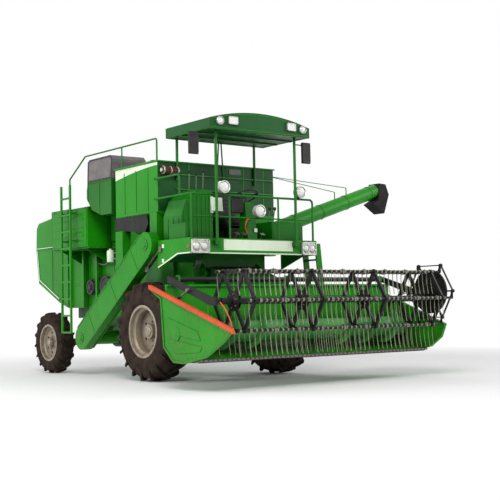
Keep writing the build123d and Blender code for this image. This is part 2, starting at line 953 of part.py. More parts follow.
# Swinging part: mitred elbow, long tube, stays
rise = radians(unload_rise)
tube_end = Vector(unload_x + unload_length * cos(rise), unload_y, unload_z + unload_length * sin(rise))
with BuildPart() as unload_tube:
    joint_face = swing_joint + seat_gap
    bar((unload_x, unload_y, joint_face), (unload_x, unload_y, joint_face + 25), unload_radius + 30)
    bar((unload_x, unload_y, joint_face), (unload_x, unload_y, unload_z), unload_radius)
    with Locations((unload_x, unload_y, unload_z)):
        Sphere(unload_radius)
    bar((unload_x, unload_y, unload_z), tuple(tube_end), unload_radius)
    mast_top = (unload_x, unload_y, 3380)
    bar((unload_x, unload_y, unload_z), mast_top, 20)
    for along in (1650, 1950):
        foot = Vector(unload_x + along * cos(rise), unload_y, unload_z + along * sin(rise))
        tip = foot + Vector(0, 0, unload_radius + 130)
        bar(tuple(foot), tuple(tip), 10)
        bar((unload_x, unload_y, 3370), tuple(tip), 7)
finish(unload_tube, "unload_tube")


# Black spout at the tube's end
with BuildPart() as unload_spout:
    front_profile(
        (
            (tube_end.X, tube_end.Z + 140),
            (tube_end.X + 170, tube_end.Z + 130),
            (tube_end.X + 250, tube_end.Z - 60),
            (tube_end.X + 120, tube_end.Z - 420),
            (tube_end.X - 150, tube_end.Z - 250),
            (tube_end.X - 20, tube_end.Z - 180),
        ),
        unload_y - unload_radius - 10,
        unload_y + unload_radius + 10,
    )
    with BuildSketch(Plane(origin=tube_end, z_dir=(cos(rise), 0, sin(rise)))) as seat_face:
        Circle(unload_radius + seat_gap)
    extrude(seat_face.sketch, amount=-300, mode=Mode.SUBTRACT)
finish(unload_spout, "unload_spout")


# Feeder house: inclined conveyor casing that hangs on the pivot shaft
lift_eye_y = -1250
lift_eye_z = 735
eye_half = 30
with BuildPart() as feeder_house:
    side_profile(
        (
            (back_sheet_y, 560),
            (back_sheet_y, 1250),
            (pivot_y - 90, pivot_z + 95),
            (pivot_y + 20, pivot_z + 60),
            (pivot_y + 20, pivot_z - 60),
            (pivot_y - 70, pivot_z - 500),
        ),
        -feeder_half_width,
        feeder_half_width,
    )
    bar((-bracket_x - 40, pivot_y, pivot_z), (bracket_x + 40, pivot_y, pivot_z), pivot_radius)
    for side in (-1, 1):
        for edge in (-1, 1):
            near, far = sorted(
                (
                    side * lift_foot_x + edge * (eye_half + seat_gap),
                    side * lift_foot_x + edge * (eye_half + 20),
                )
            )
            side_profile(
                (
                    (lift_eye_y - 120, lift_eye_z + 60),
                    (lift_eye_y - 45, lift_eye_z - 40),
                    (lift_eye_y + 45, lift_eye_z - 40),
                    (lift_eye_y + 120, lift_eye_z + 140),
                ),
                near,
                far,
            )
finish(feeder_house, "feeder_house")


# Header frame: trough sheet round the table auger, back sheet, beams and reel brackets
sheet_inner = auger_flight_radius + auger_running
sheet_outer = sheet_inner + trough_wall
frame_half = header_half_width - end_plate
corner = cos(radians(45))
bracket_half = 15
with BuildPart() as header_frame:
    with BuildSketch(Plane.YZ.offset(-frame_half)) as trough:
        with BuildLine():
            Line((knife_y, knife_z + 10), (auger_y, auger_z - sheet_inner))
            ThreePointArc(
                (auger_y, auger_z - sheet_inner),
                (auger_y + sheet_inner * corner, auger_z - sheet_inner * corner),
                (auger_y + sheet_inner, auger_z),
            )
            Line((auger_y + sheet_inner, auger_z), (auger_y + sheet_inner, header_top))
            Line((auger_y + sheet_inner, header_top), (auger_y + sheet_outer, header_top))
            Line((auger_y + sheet_outer, header_top), (auger_y + sheet_outer, auger_z))
            ThreePointArc(
                (auger_y + sheet_outer, auger_z),
                (auger_y + sheet_outer * corner, auger_z - sheet_outer * corner),
                (auger_y, auger_z - sheet_outer),
            )
            Line((auger_y, auger_z - sheet_outer), (knife_y, knife_z - 20))
            Line((knife_y, knife_z - 20), (knife_y, knife_z + 10))
        make_face()
    extrude(trough.sketch, amount=2 * frame_half)
    floor_under = auger_z - sheet_outer
    side_profile(
        (
            (knife_y + 60, knife_z - 15),
            (auger_y, floor_under + 5),
            (auger_y + 80, floor_under + 12),
            (auger_y + 60, 385),
            (knife_y + 120, 385),
        ),
        -frame_half,
        frame_half,
    )
    for side in (-1, 0, 1):
        x = side * (arm_x - 120)
        block(
            (x - bracket_half, x + bracket_half),
            (arm_pivot_y - 50, back_sheet_y),
            (header_top - 30, arm_pivot_z + 55),
        )
    bar(
        (-frame_half, arm_pivot_y, arm_pivot_z),
        (frame_half, arm_pivot_y, arm_pivot_z),
        arm_tube_radius + shaft_gap,
        mode=Mode.SUBTRACT,
    )
finish(header_frame, "header_frame")


# End plates of the header, with the auger's bearings and the reel cylinders' foot pins
end_outline = (
    (-1400, 1380),
    (-1680, 1230),
    (-1740, 580),
    (-1980, 380),
    (-2230, 370),
    (-2500, 420),
    (-2710, 460),
    (-3100, 660),
    (-3280, 790),
)
reel_foot_y = -1800
reel_foot_z = 1130
reel_cylinder_x = arm_x + arm_width / 2 + 26
reel_pin = 12
with BuildPart() as header_ends:
    for side in (-1, 1):
        near, far = sorted((side * frame_half, side * header_half_width))
        side_profile(end_outline, near, far)
        bar(
            (side * frame_half, auger_y, auger_z),
            (side * header_half_width, auger_y, auger_z),
            auger_shaft_radius + shaft_gap,
            mode=Mode.SUBTRACT,
        )
        bar(
            (side * frame_half, reel_foot_y, reel_foot_z),
            (side * (reel_cylinder_x - 22), reel_foot_y, reel_foot_z),
            reel_pin,
        )
finish(header_ends, "header_ends")


# Divider bars along the top edges of the end plates
with BuildPart() as divider_bars:
    for side in (-1, 1):
        near, far = sorted((side * frame_half, side * (header_half_width + 20)))
        side_profile(
            ((-1400, 1380), (-1400, 1440), (-3290, 846), (-3340, 770), (-3280, 790)), near, far
        )
finish(divider_bars, "divider_bars")


# Cutter bar
with BuildPart() as cutter_bar:
    block((-frame_half, frame_half), (knife_y - 60, knife_y), (knife_z - 20, knife_z + 10))
finish(cutter_bar, "cutter_bar")


# Table auger: tube and shaft ends in the end plates
auger_half = arm_x
with BuildPart() as table_auger:
    bar((-auger_half, auger_y, auger_z), (auger_half, auger_y, auger_z), auger_tube_radius)
    bar(
        (-header_half_width, auger_y, auger_z),
        (header_half_width, auger_y, auger_z),
        auger_shaft_radius,
    )
finish(table_auger, "table_auger")


# Reel arms on one cross tube, with the reel's bearings and the eccentric disc
spiders = [spider_first + spider_pitch * n for n in range(spider_count)]
ring_z = reel_z + ring_lift
disc_radius = 300
ring_front = arm_x - arm_width / 2 - 37  # face of the disc towards the reel
with BuildPart() as reel_arms:
    arm_end = arm_x + arm_width / 2
    bar((-arm_end, arm_pivot_y, arm_pivot_z), (arm_end, arm_pivot_y, arm_pivot_z), arm_tube_radius)
    for side in (-1, 1):
        near, far = sorted((side * (arm_x - arm_width / 2), side * arm_end))
        side_profile(
            (
                (arm_pivot_y + 40, arm_pivot_z + 45),
                (arm_pivot_y + 40, arm_pivot_z - 45),
                (reel_y + 60, reel_z - 55),
                (reel_y - 60, reel_z - 55),
                (reel_y - 60, reel_z + 55),
                (reel_y + 60, reel_z + 60),
            ),
            near,
            far,
        )
    bar((ring_front, reel_y, ring_z), (arm_x, reel_y, ring_z), disc_radius)
    bar(
        (-arm_end, reel_y, reel_z),
        (arm_end, reel_y, reel_z),
        journal_radius + shaft_gap,
        mode=Mode.SUBTRACT,
    )
finish(reel_arms, "reel_arms")


def around(y, z, radius, turn):
    """Point on a circle in the YZ plane, turn in degrees from the rear."""
    return y + radius * cos(radians(turn)), z + radius * sin(radians(turn))


# Reel rotor: tube, journals and the spiders that carry the bats
tube_end_x = ring_front - 45
with BuildPart() as reel_rotor:
    bar((-tube_end_x, reel_y, reel_z), (tube_end_x, reel_y, reel_z), reel_tube_radius)
    bar(
        (-arm_x - arm_width / 2, reel_y, reel_z),
        (arm_x + arm_width / 2, reel_y, reel_z),
        journal_radius,
    )
    for x in spiders:
        with BuildSketch(Plane.YZ.offset(x - spider_thickness / 2)) as star:
            with Locations((reel_y, reel_z)):
                Circle(90)
            for n in range(bat_count):
                turn = 360 / bat_count * n
                y, z = around(reel_y, reel_z, reel_radius / 2, turn)
                with Locations(Location((y, z, 0), turn)):
                    Rectangle(reel_radius, 50)
                with Locations(around(reel_y, reel_z, reel_radius, turn)):
                    Circle(34)
            for n in range(bat_count):
                with Locations(around(reel_y, reel_z, reel_radius, 360 / bat_count * n)):
                    Circle(bat_radius + shaft_gap, mode=Mode.SUBTRACT)
        extrude(star.sketch, amount=spider_thickness)
finish(reel_rotor, "reel_rotor")


# Bats: tube, spring tines that hang down and the crank at the left end
bat_right = spiders[0] - 130
crank_face = ring_front - 30
crank_pin = 10
crank_plate = 12
ring_width = 25
tine_count = int((crank_face - 20 - bat_right) / tine_pitch)
for n in range(bat_count):
    bat_y, bat_z = around(reel_y, reel_z, reel_radius, 360 / bat_count * n)
    with BuildPart() as bat:
        bar((bat_right, bat_y, bat_z), (crank_face + crank_plate, bat_y, bat_z), bat_radius)
        for t in range(tine_count):
            x = spiders[0] + tine_pitch * (t - 0.5) - tine_width / 2
            block(
                (x, x + tine_width),
                (bat_y - tine_width / 2, bat_y + tine_width / 2),
                (bat_z - tine_length, bat_z - bat_radius / 2),
            )
        block(
            (crank_face, crank_face + crank_plate),
            (bat_y - 20, bat_y + 20),
            (bat_z - 20, bat_z + ring_lift + 20),
        )
        bar(
            (crank_face, bat_y, bat_z + ring_lift),
            (ring_front + ring_width, bat_y, bat_z + ring_lift),
            crank_pin,
        )
    finish(bat, f"reel_bat_{n + 1}")


# Eccentric ring: band on the disc, spokes and corner eyes on the cranks
ring_band = 30
with BuildPart() as eccentric_ring:
    with BuildSketch(Plane.YZ.offset(ring_front)) as band:
        with Locations((reel_y, ring_z)):
            Circle(disc_radius + seat_gap + ring_band)
        for n in range(bat_count):
            turn = 360 / bat_count * n
            y, z = around(reel_y, ring_z, (disc_radius + reel_radius) / 2, turn)
            with Locations(Location((y, z, 0), turn)):
                Rectangle(reel_radius - disc_radius, 24)
            chord_turn = turn + 180 / bat_count
            chord = reel_radius * cos(radians(180 / bat_count))
            y, z = around(reel_y, ring_z, chord, chord_turn)
            with Locations(Location((y, z, 0), chord_turn)):
                Rectangle(16, reel_radius)
            with Locations(around(reel_y, ring_z, reel_radius, turn)):
                Circle(26)
        with Locations((reel_y, ring_z)):
            Circle(disc_radius + seat_gap, mode=Mode.SUBTRACT)
        for n in range(bat_count):
            with Locations(around(reel_y, ring_z, reel_radius, 360 / bat_count * n)):
                Circle(crank_pin + shaft_gap, mode=Mode.SUBTRACT)
    extrude(band.sketch, amount=ring_width)
finish(eccentric_ring, "eccentric_ring")


def cylinder_plane(x, foot, eye):
    """Plane at a cylinder's foot: x runs towards the rod's eye, z across the machine."""
    run = hypot(eye[0] - foot[0], eye[1] - foot[1])
    along = (0, (eye[0] - foot[0]) / run, (eye[1] - foot[1]) / run)
    return Plane(origin=(x, foot[0], foot[1]), x_dir=along, z_dir=(1, 0, 0))


def cylinder_pair(name, x, foot, eye, sizes):
    """Barrels and rods of the right and left cylinder, each pair in one node."""
    outer, rod, pin, eye_radius, foot_half, head_half, barrel_length, rod_length = sizes
    run = hypot(eye[0] - foot[0], eye[1] - foot[1])
    with BuildPart() as barrels:
        for side in (-1, 1):
            plane = cylinder_plane(side * x, foot, eye)
            start = plane.from_local_coords((eye_radius / 2, 0, 0))
            end = plane.from_local_coords((barrel_length, 0, 0))
            bar(tuple(start), tuple(end), outer)
            across = (side * x - foot_half, *foot), (side * x + foot_half, *foot)
            bar(*across, eye_radius)
            bar(*across, pin + shaft_gap, mode=Mode.SUBTRACT)
            bore_start = plane.from_local_coords((eye_radius + 10, 0, 0))
            bar(tuple(bore_start), tuple(end), rod + shaft_gap, mode=Mode.SUBTRACT)
    finish(barrels, f"{name}_barrels")
    with BuildPart() as rods:
        for side in (-1, 1):
            plane = cylinder_plane(side * x, foot, eye)
            start = plane.from_local_coords((run - rod_length, 0, 0))
            end = plane.from_local_coords((run, 0, 0))
            bar(tuple(start), tuple(end), rod)
            bar((side * x - head_half, *eye), (side * x + head_half, *eye), eye_radius)
    finish(rods, f"{name}_rods")


# Lift cylinders: outer, rod, pin and eye radius, half widths of foot and eye, lengths
cylinder_pair(
    "header_lift",
    lift_foot_x,
    (lift_foot_y, lift_foot_z),
    (lift_eye_y, lift_eye_z),
    (44, 28, lift_pin, 38, lug_half - seat_gap, eye_half, 640, 820),
)
reel_eye_y = -2250
reel_eye_z = 1345
cylinder_pair(
    "reel_lift",
    reel_cylinder_x,
    (reel_foot_y, reel_foot_z),
    (reel_eye_y, reel_eye_z),
    (20, 12, reel_pin, 22, 20, 26 - seat_gap, 310, 380),
)
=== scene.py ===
import math

import bmesh
import bpy
from mathutils import Matrix, Vector


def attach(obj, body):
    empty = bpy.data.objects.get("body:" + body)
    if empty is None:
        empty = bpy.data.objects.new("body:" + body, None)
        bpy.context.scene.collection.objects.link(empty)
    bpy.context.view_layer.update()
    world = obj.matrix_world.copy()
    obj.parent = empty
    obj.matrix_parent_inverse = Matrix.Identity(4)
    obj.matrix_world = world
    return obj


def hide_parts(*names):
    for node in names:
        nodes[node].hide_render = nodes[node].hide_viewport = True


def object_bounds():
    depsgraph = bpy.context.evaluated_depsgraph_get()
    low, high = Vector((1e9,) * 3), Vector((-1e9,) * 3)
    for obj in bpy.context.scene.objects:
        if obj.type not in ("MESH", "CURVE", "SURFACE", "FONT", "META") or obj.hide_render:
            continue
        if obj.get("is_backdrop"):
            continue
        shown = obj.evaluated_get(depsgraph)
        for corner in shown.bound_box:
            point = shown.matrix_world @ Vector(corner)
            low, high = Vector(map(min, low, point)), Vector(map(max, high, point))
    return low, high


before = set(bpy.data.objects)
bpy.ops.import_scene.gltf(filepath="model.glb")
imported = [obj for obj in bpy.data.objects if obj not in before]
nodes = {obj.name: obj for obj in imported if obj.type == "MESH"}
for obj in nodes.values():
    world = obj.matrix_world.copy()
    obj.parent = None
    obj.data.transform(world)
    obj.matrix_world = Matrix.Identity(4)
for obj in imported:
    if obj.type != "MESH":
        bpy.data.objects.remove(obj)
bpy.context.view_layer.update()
print("frame loaded:", len(nodes), "nodes")


# Colours are given as they look on a screen and turned to scene light here
def tint(red, green, blue):
    def linear(value):
        value /= 255
        return value / 12.92 if value <= 0.04045 else ((value + 0.055) / 1.055) ** 2.4
    return linear(red), linear(green), linear(blue), 1.0


def scaled(colour, factor):
    return tuple(min(1.0, c * factor) for c in colour[:3]) + (1.0,)


# Small helpers for node materials
def startMaterial(name, look):
    material = bpy.data.materials.new(name)
    material.use_nodes = True
    tree = material.node_tree
    shader = tree.nodes["Principled BSDF"]
    shader.inputs["Base Color"].default_value = look["colour"]
    shader.inputs["Roughness"].default_value = look["roughness"]
    shader.inputs["Metallic"].default_value = look.get("metallic", 0.0)
    shader.inputs["Coat Weight"].default_value = look.get("coat", 0.0)
    shader.inputs["Coat Roughness"].default_value = 0.12
    shader.inputs["Specular IOR Level"].default_value = look.get("specular", 0.5)
    place = tree.nodes.new("ShaderNodeTexCoord")
    return material, tree, shader, place.outputs["Object"]


def noise(tree, place, scale, detail=4.0, stretch=None):
    node = tree.nodes.new("ShaderNodeTexNoise")
    node.inputs["Scale"].default_value = scale
    node.inputs["Detail"].default_value = detail
    if stretch:
        mapping = tree.nodes.new("ShaderNodeMapping")
        mapping.inputs["Scale"].default_value = stretch
        tree.links.new(place, mapping.inputs["Vector"])
        place = mapping.outputs["Vector"]
    tree.links.new(place, node.inputs["Vector"])
    return node.outputs["Fac"]


def remap(tree, value, low, high, toLow=0.0, toHigh=1.0):
    node = tree.nodes.new("ShaderNodeMapRange")
    node.inputs["From Min"].default_value = low
    node.inputs["From Max"].default_value = high
    node.inputs["To Min"].default_value = toLow
    node.inputs["To Max"].default_value = toHigh
    tree.links.new(value, node.inputs["Value"])
    return node.outputs["Result"]


def maths(tree, operation, first, second):
    node = tree.nodes.new("ShaderNodeMath")
    node.operation = operation
    for slot, value in enumerate((first, second)):
        if isinstance(value, (int, float)):
            node.inputs[slot].default_value = value
        else:
            tree.links.new(value, node.inputs[slot])
    return node.outputs["Value"]


def mixColour(tree, factor, first, second):
    node = tree.nodes.new("ShaderNodeMix")
    node.data_type = "RGBA"
    tree.links.new(factor, node.inputs["Factor"])
    for name, value in (("A", first), ("B", second)):
        socket = [s for s in node.inputs if s.name == name and s.type == "RGBA"][0]
        if isinstance(value, tuple):
            socket.default_value = value
        else:
            tree.links.new(value, socket)
    return [s for s in node.outputs if s.type == "RGBA"][0]


def heightOf(tree, place):
    node = tree.nodes.new("ShaderNodeSeparateXYZ")
    tree.links.new(place, node.inputs["Vector"])
    return node.outputs["Z"]


# How open a spot is: 1 on a free face, less where surfaces meet; it drives the painted shade in corners
def corners(tree, distance):
    node = tree.nodes.new("ShaderNodeAmbientOcclusion")
    node.samples = 4
    node.inputs["Distance"].default_value = distance
    return node.outputs["AO"]


def bump(tree, shader, height, strength, distance):
    node = tree.nodes.new("ShaderNodeBump")
    node.inputs["Strength"].default_value = strength
    node.inputs["Distance"].default_value = distance
    tree.links.new(height, node.inputs["Height"])
    tree.links.new(node.outputs["Normal"], shader.inputs["Normal"])


# Painted shade and grime where surfaces meet: the colour darkens towards a dark copy of its base
def shadedAndGrimed(tree, colour, base, reach, amount, shade, low=0.3, high=0.95):
    shadeAndGrime = remap(tree, corners(tree, reach), low, high, amount, 0)
    return mixColour(tree, shadeAndGrime, colour, scaled(base, shade))


# Sizes of the patterns that a finish repeats over a surface
patternLook = {"tone": 1.1, "streaks": 9, "streakStretch": (1, 1, 0.18), "spots": 14, "dents": 5, "rubberGrain": 90,
    "metalMarks": 35, "rust": 11, "meshHoles": 62, "lensFlutes": 22, "leatherGrain": 260}
rustColour, dryDust = tint(110, 62, 34), tint(150, 134, 104)


# Sheet metal in gloss paint: uneven tone, dust low down, painted shade and grime in the corners
def painted(name, look):
    material, tree, shader, place = startMaterial(name, look)
    base = look["colour"]
    broad = remap(tree, noise(tree, place, patternLook["tone"], 3), 0.35, 0.65)
    colour = mixColour(tree, broad, scaled(base, 0.9), scaled(base, 1.08))
    streaks = noise(tree, place, patternLook["streaks"], 5, patternLook["streakStretch"])
    colour = mixColour(tree, remap(tree, streaks, 0.58, 0.75, 0, look.get("streaks", 0.18)), colour,
        scaled(base, 0.62))
    colour = shadedAndGrimed(tree, colour, base, look.get("reach", 0.1), look["shadeAndGrime"], 0.22, low=0.35)
    low = remap(tree, heightOf(tree, place), 0.2, 1.5, look.get("dust", 0.3), 0.02)
    spots = remap(tree, noise(tree, place, patternLook["spots"], 8), 0.42, 0.62)
    colour = mixColour(tree, maths(tree, "MULTIPLY", low, spots), colour, look.get("dustColour",
        tint(132, 122, 92)))
    tree.links.new(colour, shader.inputs["Base Color"])
    rough = look["roughness"]
    tree.links.new(remap(tree, streaks, 0.3, 0.8, rough * 0.8, rough * 1.35), shader.inputs["Roughness"])
    bump(tree, shader, noise(tree, place, patternLook["dents"], 3), 0.12, 0.02)
    return material


# Rubber and dull plastic with dry dust on it, and painted shade and grime in the corners
def rubber(name, look):
    material, tree, shader, place = startMaterial(name, look)
    base = look["colour"]
    patches = remap(tree, noise(tree, place, 7, 8), 0.35, 0.68)
    colour = mixColour(tree, patches, scaled(base, 0.75), look["dustColour"])
    colour = shadedAndGrimed(tree, colour, base, 0.05, 0.75, 0.35)
    tree.links.new(colour, shader.inputs["Base Color"])
    bump(tree, shader, noise(tree, place, patternLook["rubberGrain"], 4), 0.35, 0.004)
    return material


# Unpainted metal with marks and patches of rust, and painted shade and grime in the corners
def bareMetal(name, look):
    material, tree, shader, place = startMaterial(name, look)
    base = look["colour"]
    marks = noise(tree, place, patternLook["metalMarks"], 6)
    colour = mixColour(tree, remap(tree, marks, 0.35, 0.7), scaled(base, look.get("marks", 0.75)),
        scaled(base, 1.06))
    rust = remap(tree, noise(tree, place, patternLook["rust"], 8), 0.6, 0.72, 0, look["rust"])
    colour = mixColour(tree, rust, colour, rustColour)
    colour = shadedAndGrimed(tree, colour, base, 0.06, 0.6, 0.2, high=0.9)
    tree.links.new(colour, shader.inputs["Base Color"])
    rough = look["roughness"]
    tree.links.new(remap(tree, marks, 0.3, 0.7, rough * 0.8, rough * 1.3), shader.inputs["Roughness"])
    bump(tree, shader, marks, 0.15, 0.002)
    return material


# Perforated sheet with rows of holes
def meshed(name, look):
    material, tree, shader, place = startMaterial(name, look)
    base = look["colour"]
    cells = tree.nodes.new("ShaderNodeTexVoronoi")
    cells.inputs["Scale"].default_value = patternLook["meshHoles"]
    cells.inputs["Randomness"].default_value = 0.0
    tree.links.new(place, cells.inputs["Vector"])
    holes = remap(tree, cells.outputs["Distance"], 0.3, 0.36, 1, 0)
    tone = remap(tree, noise(tree, place, 4, 5), 0.35, 0.65)
    colour = mixColour(tree, tone, scaled(base, 0.85), scaled(base, 1.1))
    colour = mixColour(tree, maths(tree, "MULTIPLY", holes, 0.8), colour, scaled(base, 0.15))
    colour = mixColour(tree, remap(tree, noise(tree, place, 9, 8), 0.52, 0.7, 0, 0.35), colour, dryDust)
    tree.links.new(colour, shader.inputs["Base Color"])
    bump(tree, shader, holes, -0.4, 0.004)
    return material


# Lens glass with upright flutes, and painted shade and grime in the corners
def lensed(name, look):
    material, tree, shader, place = startMaterial(name, look)
    base = look["colour"]
    flutes = tree.nodes.new("ShaderNodeTexWave")
    flutes.inputs["Scale"].default_value = patternLook["lensFlutes"]
    flutes.inputs["Distortion"].default_value = 0.0
    tree.links.new(place, flutes.inputs["Vector"])
    colour = mixColour(tree, remap(tree, flutes.outputs["Fac"], 0.2, 0.8), scaled(base, 0.78), base)
    colour = shadedAndGrimed(tree, colour, base, 0.05, 0.8, 0.3)
    tree.links.new(colour, shader.inputs["Base Color"])
    bump(tree, shader, flutes.outputs["Fac"], 0.3, 0.003)
    return material


# Grained leathercloth, polished where it is sat on, with painted shade and grime in the corners
def leather(name, look):
    material, tree, shader, place = startMaterial(name, look)
    base = look["colour"]
    grain = tree.nodes.new("ShaderNodeTexVoronoi")
    grain.inputs["Scale"].default_value = patternLook["leatherGrain"]
    tree.links.new(place, grain.inputs["Vector"])
    worn = remap(tree, noise(tree, place, 6, 5), 0.42, 0.66)
    colour = shadedAndGrimed(tree, mixColour(tree, worn, base, look["dustColour"]), base, 0.04, 0.8, 0.3)
    tree.links.new(colour, shader.inputs["Base Color"])
    tree.links.new(remap(tree, worn, 0, 1, 0.55, 0.36), shader.inputs["Roughness"])
    bump(tree, shader, grain.outputs["Distance"], 0.35, 0.0015)
    return material


# Each finish: how it is made, its name, the material slot that it stands for, its look
finishTable = {
    "bright": (painted, "paint_bright_green", "bright_green", {"colour": tint(24, 134, 8), "roughness": 0.33,
        "coat": 0.08, "specular": 0.2, "shadeAndGrime": 0.85, "reach": 0.22, "dustColour": tint(112, 104, 62)}),
    # The next two greens are the bright green with painted shade in it, shaded copies for parts that lie in shade
    "shadedGreen": (painted, "green_with_painted_shade", "dark_green", {"colour": tint(16, 106, 14), "roughness": 0.38,
        "coat": 0.06, "specular": 0.2, "shadeAndGrime": 0.85, "reach": 0.2, "dustColour": tint(96, 92, 62)}),
    "deepShadedGreen": (painted, "green_with_deep_painted_shade", "dark_green", {"colour": tint(10, 78, 26), "roughness": 0.42,
        "specular": 0.25, "shadeAndGrime": 0.85, "reach": 0.2, "dustColour": tint(84, 80, 56)}),
    "black": (painted, "paint_black", "black_paint", {"colour": tint(15, 16, 15), "roughness": 0.45,
        "specular": 0.3, "shadeAndGrime": 0.3, "dustColour": tint(74, 66, 50), "dust": 0.06}),
    "rim": (painted, "paint_rim_silver", "rim_silver", {"colour": tint(164, 154, 136), "roughness": 0.42,
        "metallic": 0.25, "specular": 0.3, "shadeAndGrime": 0.95, "reach": 0.14, "dust": 0.6,
        "dustColour": tint(118, 92, 66), "streaks": 0.5}),
    "orange": (painted, "paint_orange", "orange_paint", {"colour": tint(204, 74, 34), "roughness": 0.42,
        "specular": 0.3, "shadeAndGrime": 0.4, "streaks": 0.4}),
    "screen": (meshed, "screen_grey", None, {"colour": tint(112, 108, 110), "roughness": 0.6, "metallic": 0.3}),
    # The dark screen grey is partly painted shade: on the radiator screen's front and on the grille in the body's
    # shaded side
    "darkScreen": (meshed, "screen_dark", "grey_metal", {"colour": tint(58, 56, 58), "roughness": 0.6,
        "metallic": 0.3}),
    "pale": (painted, "paint_pale_green", "pale_green", {"colour": tint(62, 150, 66), "roughness": 0.4,
        "specular": 0.35, "shadeAndGrime": 0.6}),
    "cast": (painted, "cast_grey", "grey_metal", {"colour": tint(62, 66, 62), "roughness": 0.6, "metallic": 0.3,
        "shadeAndGrime": 0.7, "dustColour": tint(84, 72, 52), "dust": 0.2}),
    "trim": (painted, "trim_white", "lamp", {"colour": tint(226, 240, 214), "roughness": 0.4, "specular": 0.3,
        "shadeAndGrime": 0.4, "dust": 0.12}),
    "plate": (painted, "plate_grey", "grey_metal", {"colour": tint(112, 120, 114), "roughness": 0.45,
        "specular": 0.3, "shadeAndGrime": 0.4, "dust": 0.0}),
    "red": (painted, "marker_red", "lamp", {"colour": tint(176, 34, 24), "roughness": 0.2, "coat": 0.8,
        "shadeAndGrime": 0.2, "dust": 0.0}),
    "lamp": (lensed, "lamp_glass", "lamp", {"colour": tint(236, 238, 232), "roughness": 0.08, "coat": 0.9}),
    "tyre": (rubber, "tyre_rubber", "tyre", {"colour": tint(38, 29, 25), "roughness": 0.86, "specular": 0.2,
        "dustColour": tint(58, 44, 35)}),
    "rubber": (rubber, "rubber_black", "rubber_black", {"colour": tint(24, 24, 24), "roughness": 0.8,
        "specular": 0.25, "dustColour": tint(40, 38, 35)}),
    "plastic": (rubber, "plastic_dark", "wheel_plastic", {"colour": tint(24, 22, 22), "roughness": 0.45,
        "specular": 0.3, "dustColour": tint(44, 40, 37)}),
    "seat": (leather, "seat_leather", "seat_cover", {"colour": tint(26, 26, 28), "roughness": 0.5,
        "specular": 0.3, "dustColour": tint(46, 44, 41)}),
    "steel": (bareMetal, "bare_steel", "bare_steel", {"colour": tint(134, 130, 124), "roughness": 0.4,
        "metallic": 0.8, "rust": 0.5}),
    "chrome": (bareMetal, "bright_steel", "bare_steel", {"colour": tint(214, 214, 208), "roughness": 0.28,
        "metallic": 0.6, "rust": 0.0, "marks": 0.93}),
    "tine": (bareMetal, "tine_steel", "bare_steel", {"colour": tint(150, 150, 126), "roughness": 0.45,
        "metallic": 0.4, "rust": 0.4}),
    "barrel": (bareMetal, "brown_barrel", None, {"colour": tint(84, 50, 36), "roughness": 0.7, "metallic": 0.3,
        "rust": 0.8}),
    "mirror": (bareMetal, "mirror_glass", "lamp", {"colour": tint(176, 184, 188), "roughness": 0.05,
        "metallic": 0.95, "rust": 0.0}),
}
mats = {key: make(name, look) for key, (make, name, slot, look) in finishTable.items()}

nodeFinish = {
    # Parts that lie in shade take the two greens with painted shade in them
    "deepShadedGreen": ["chassis_frame", "front_axle", "rear_axle", "feeder_house", "knuckle_right",
             "knuckle_left", "canopy"],
    "shadedGreen": ["canopy_posts", "hand_rails", "console", "engine_duct"],
    "cast": ["engine"],
    "bright": ["thresher_body", "straw_hood", "side_boxes", "grain_tank", "elevators", "platform", "ladders",
               "unload_elbow", "unload_tube", "header_frame", "header_ends"],
    "black": ["battery_box", "reel_arms", "reel_rotor", "eccentric_ring", "header_lift_barrels",
              "reel_lift_barrels"] + [f"reel_bat_{n}" for n in range(1, 7)],
    "rim": [f"{end}_rim_{hand}" for end in ("front", "rear") for hand in ("right", "left")],
    "tyre": [f"{end}_tyre_{hand}" for end in ("front", "rear") for hand in ("right", "left")],
    "steel": ["tie_rod", "cutter_bar", "header_lift_rods", "reel_lift_rods"],
    "orange": ["divider_bars"],
    "screen": ["radiator_screen"],
    "pale": ["table_auger"],
    "chrome": ["lamps"],
    "barrel": ["silencer"],
    "rubber": ["unload_spout"],
    "plastic": ["mirrors", "steering_wheel"],
    "seat": ["seat"],
}


def giveFinish(name, material):
    mesh = nodes[name].data
    mesh.materials.clear()
    mesh.materials.append(material)
    for polygon in mesh.polygons:
        polygon.material_index = 0


for finish, names in nodeFinish.items():
    for name in names:
        giveFinish(name, mats[finish])
print("finishes given")


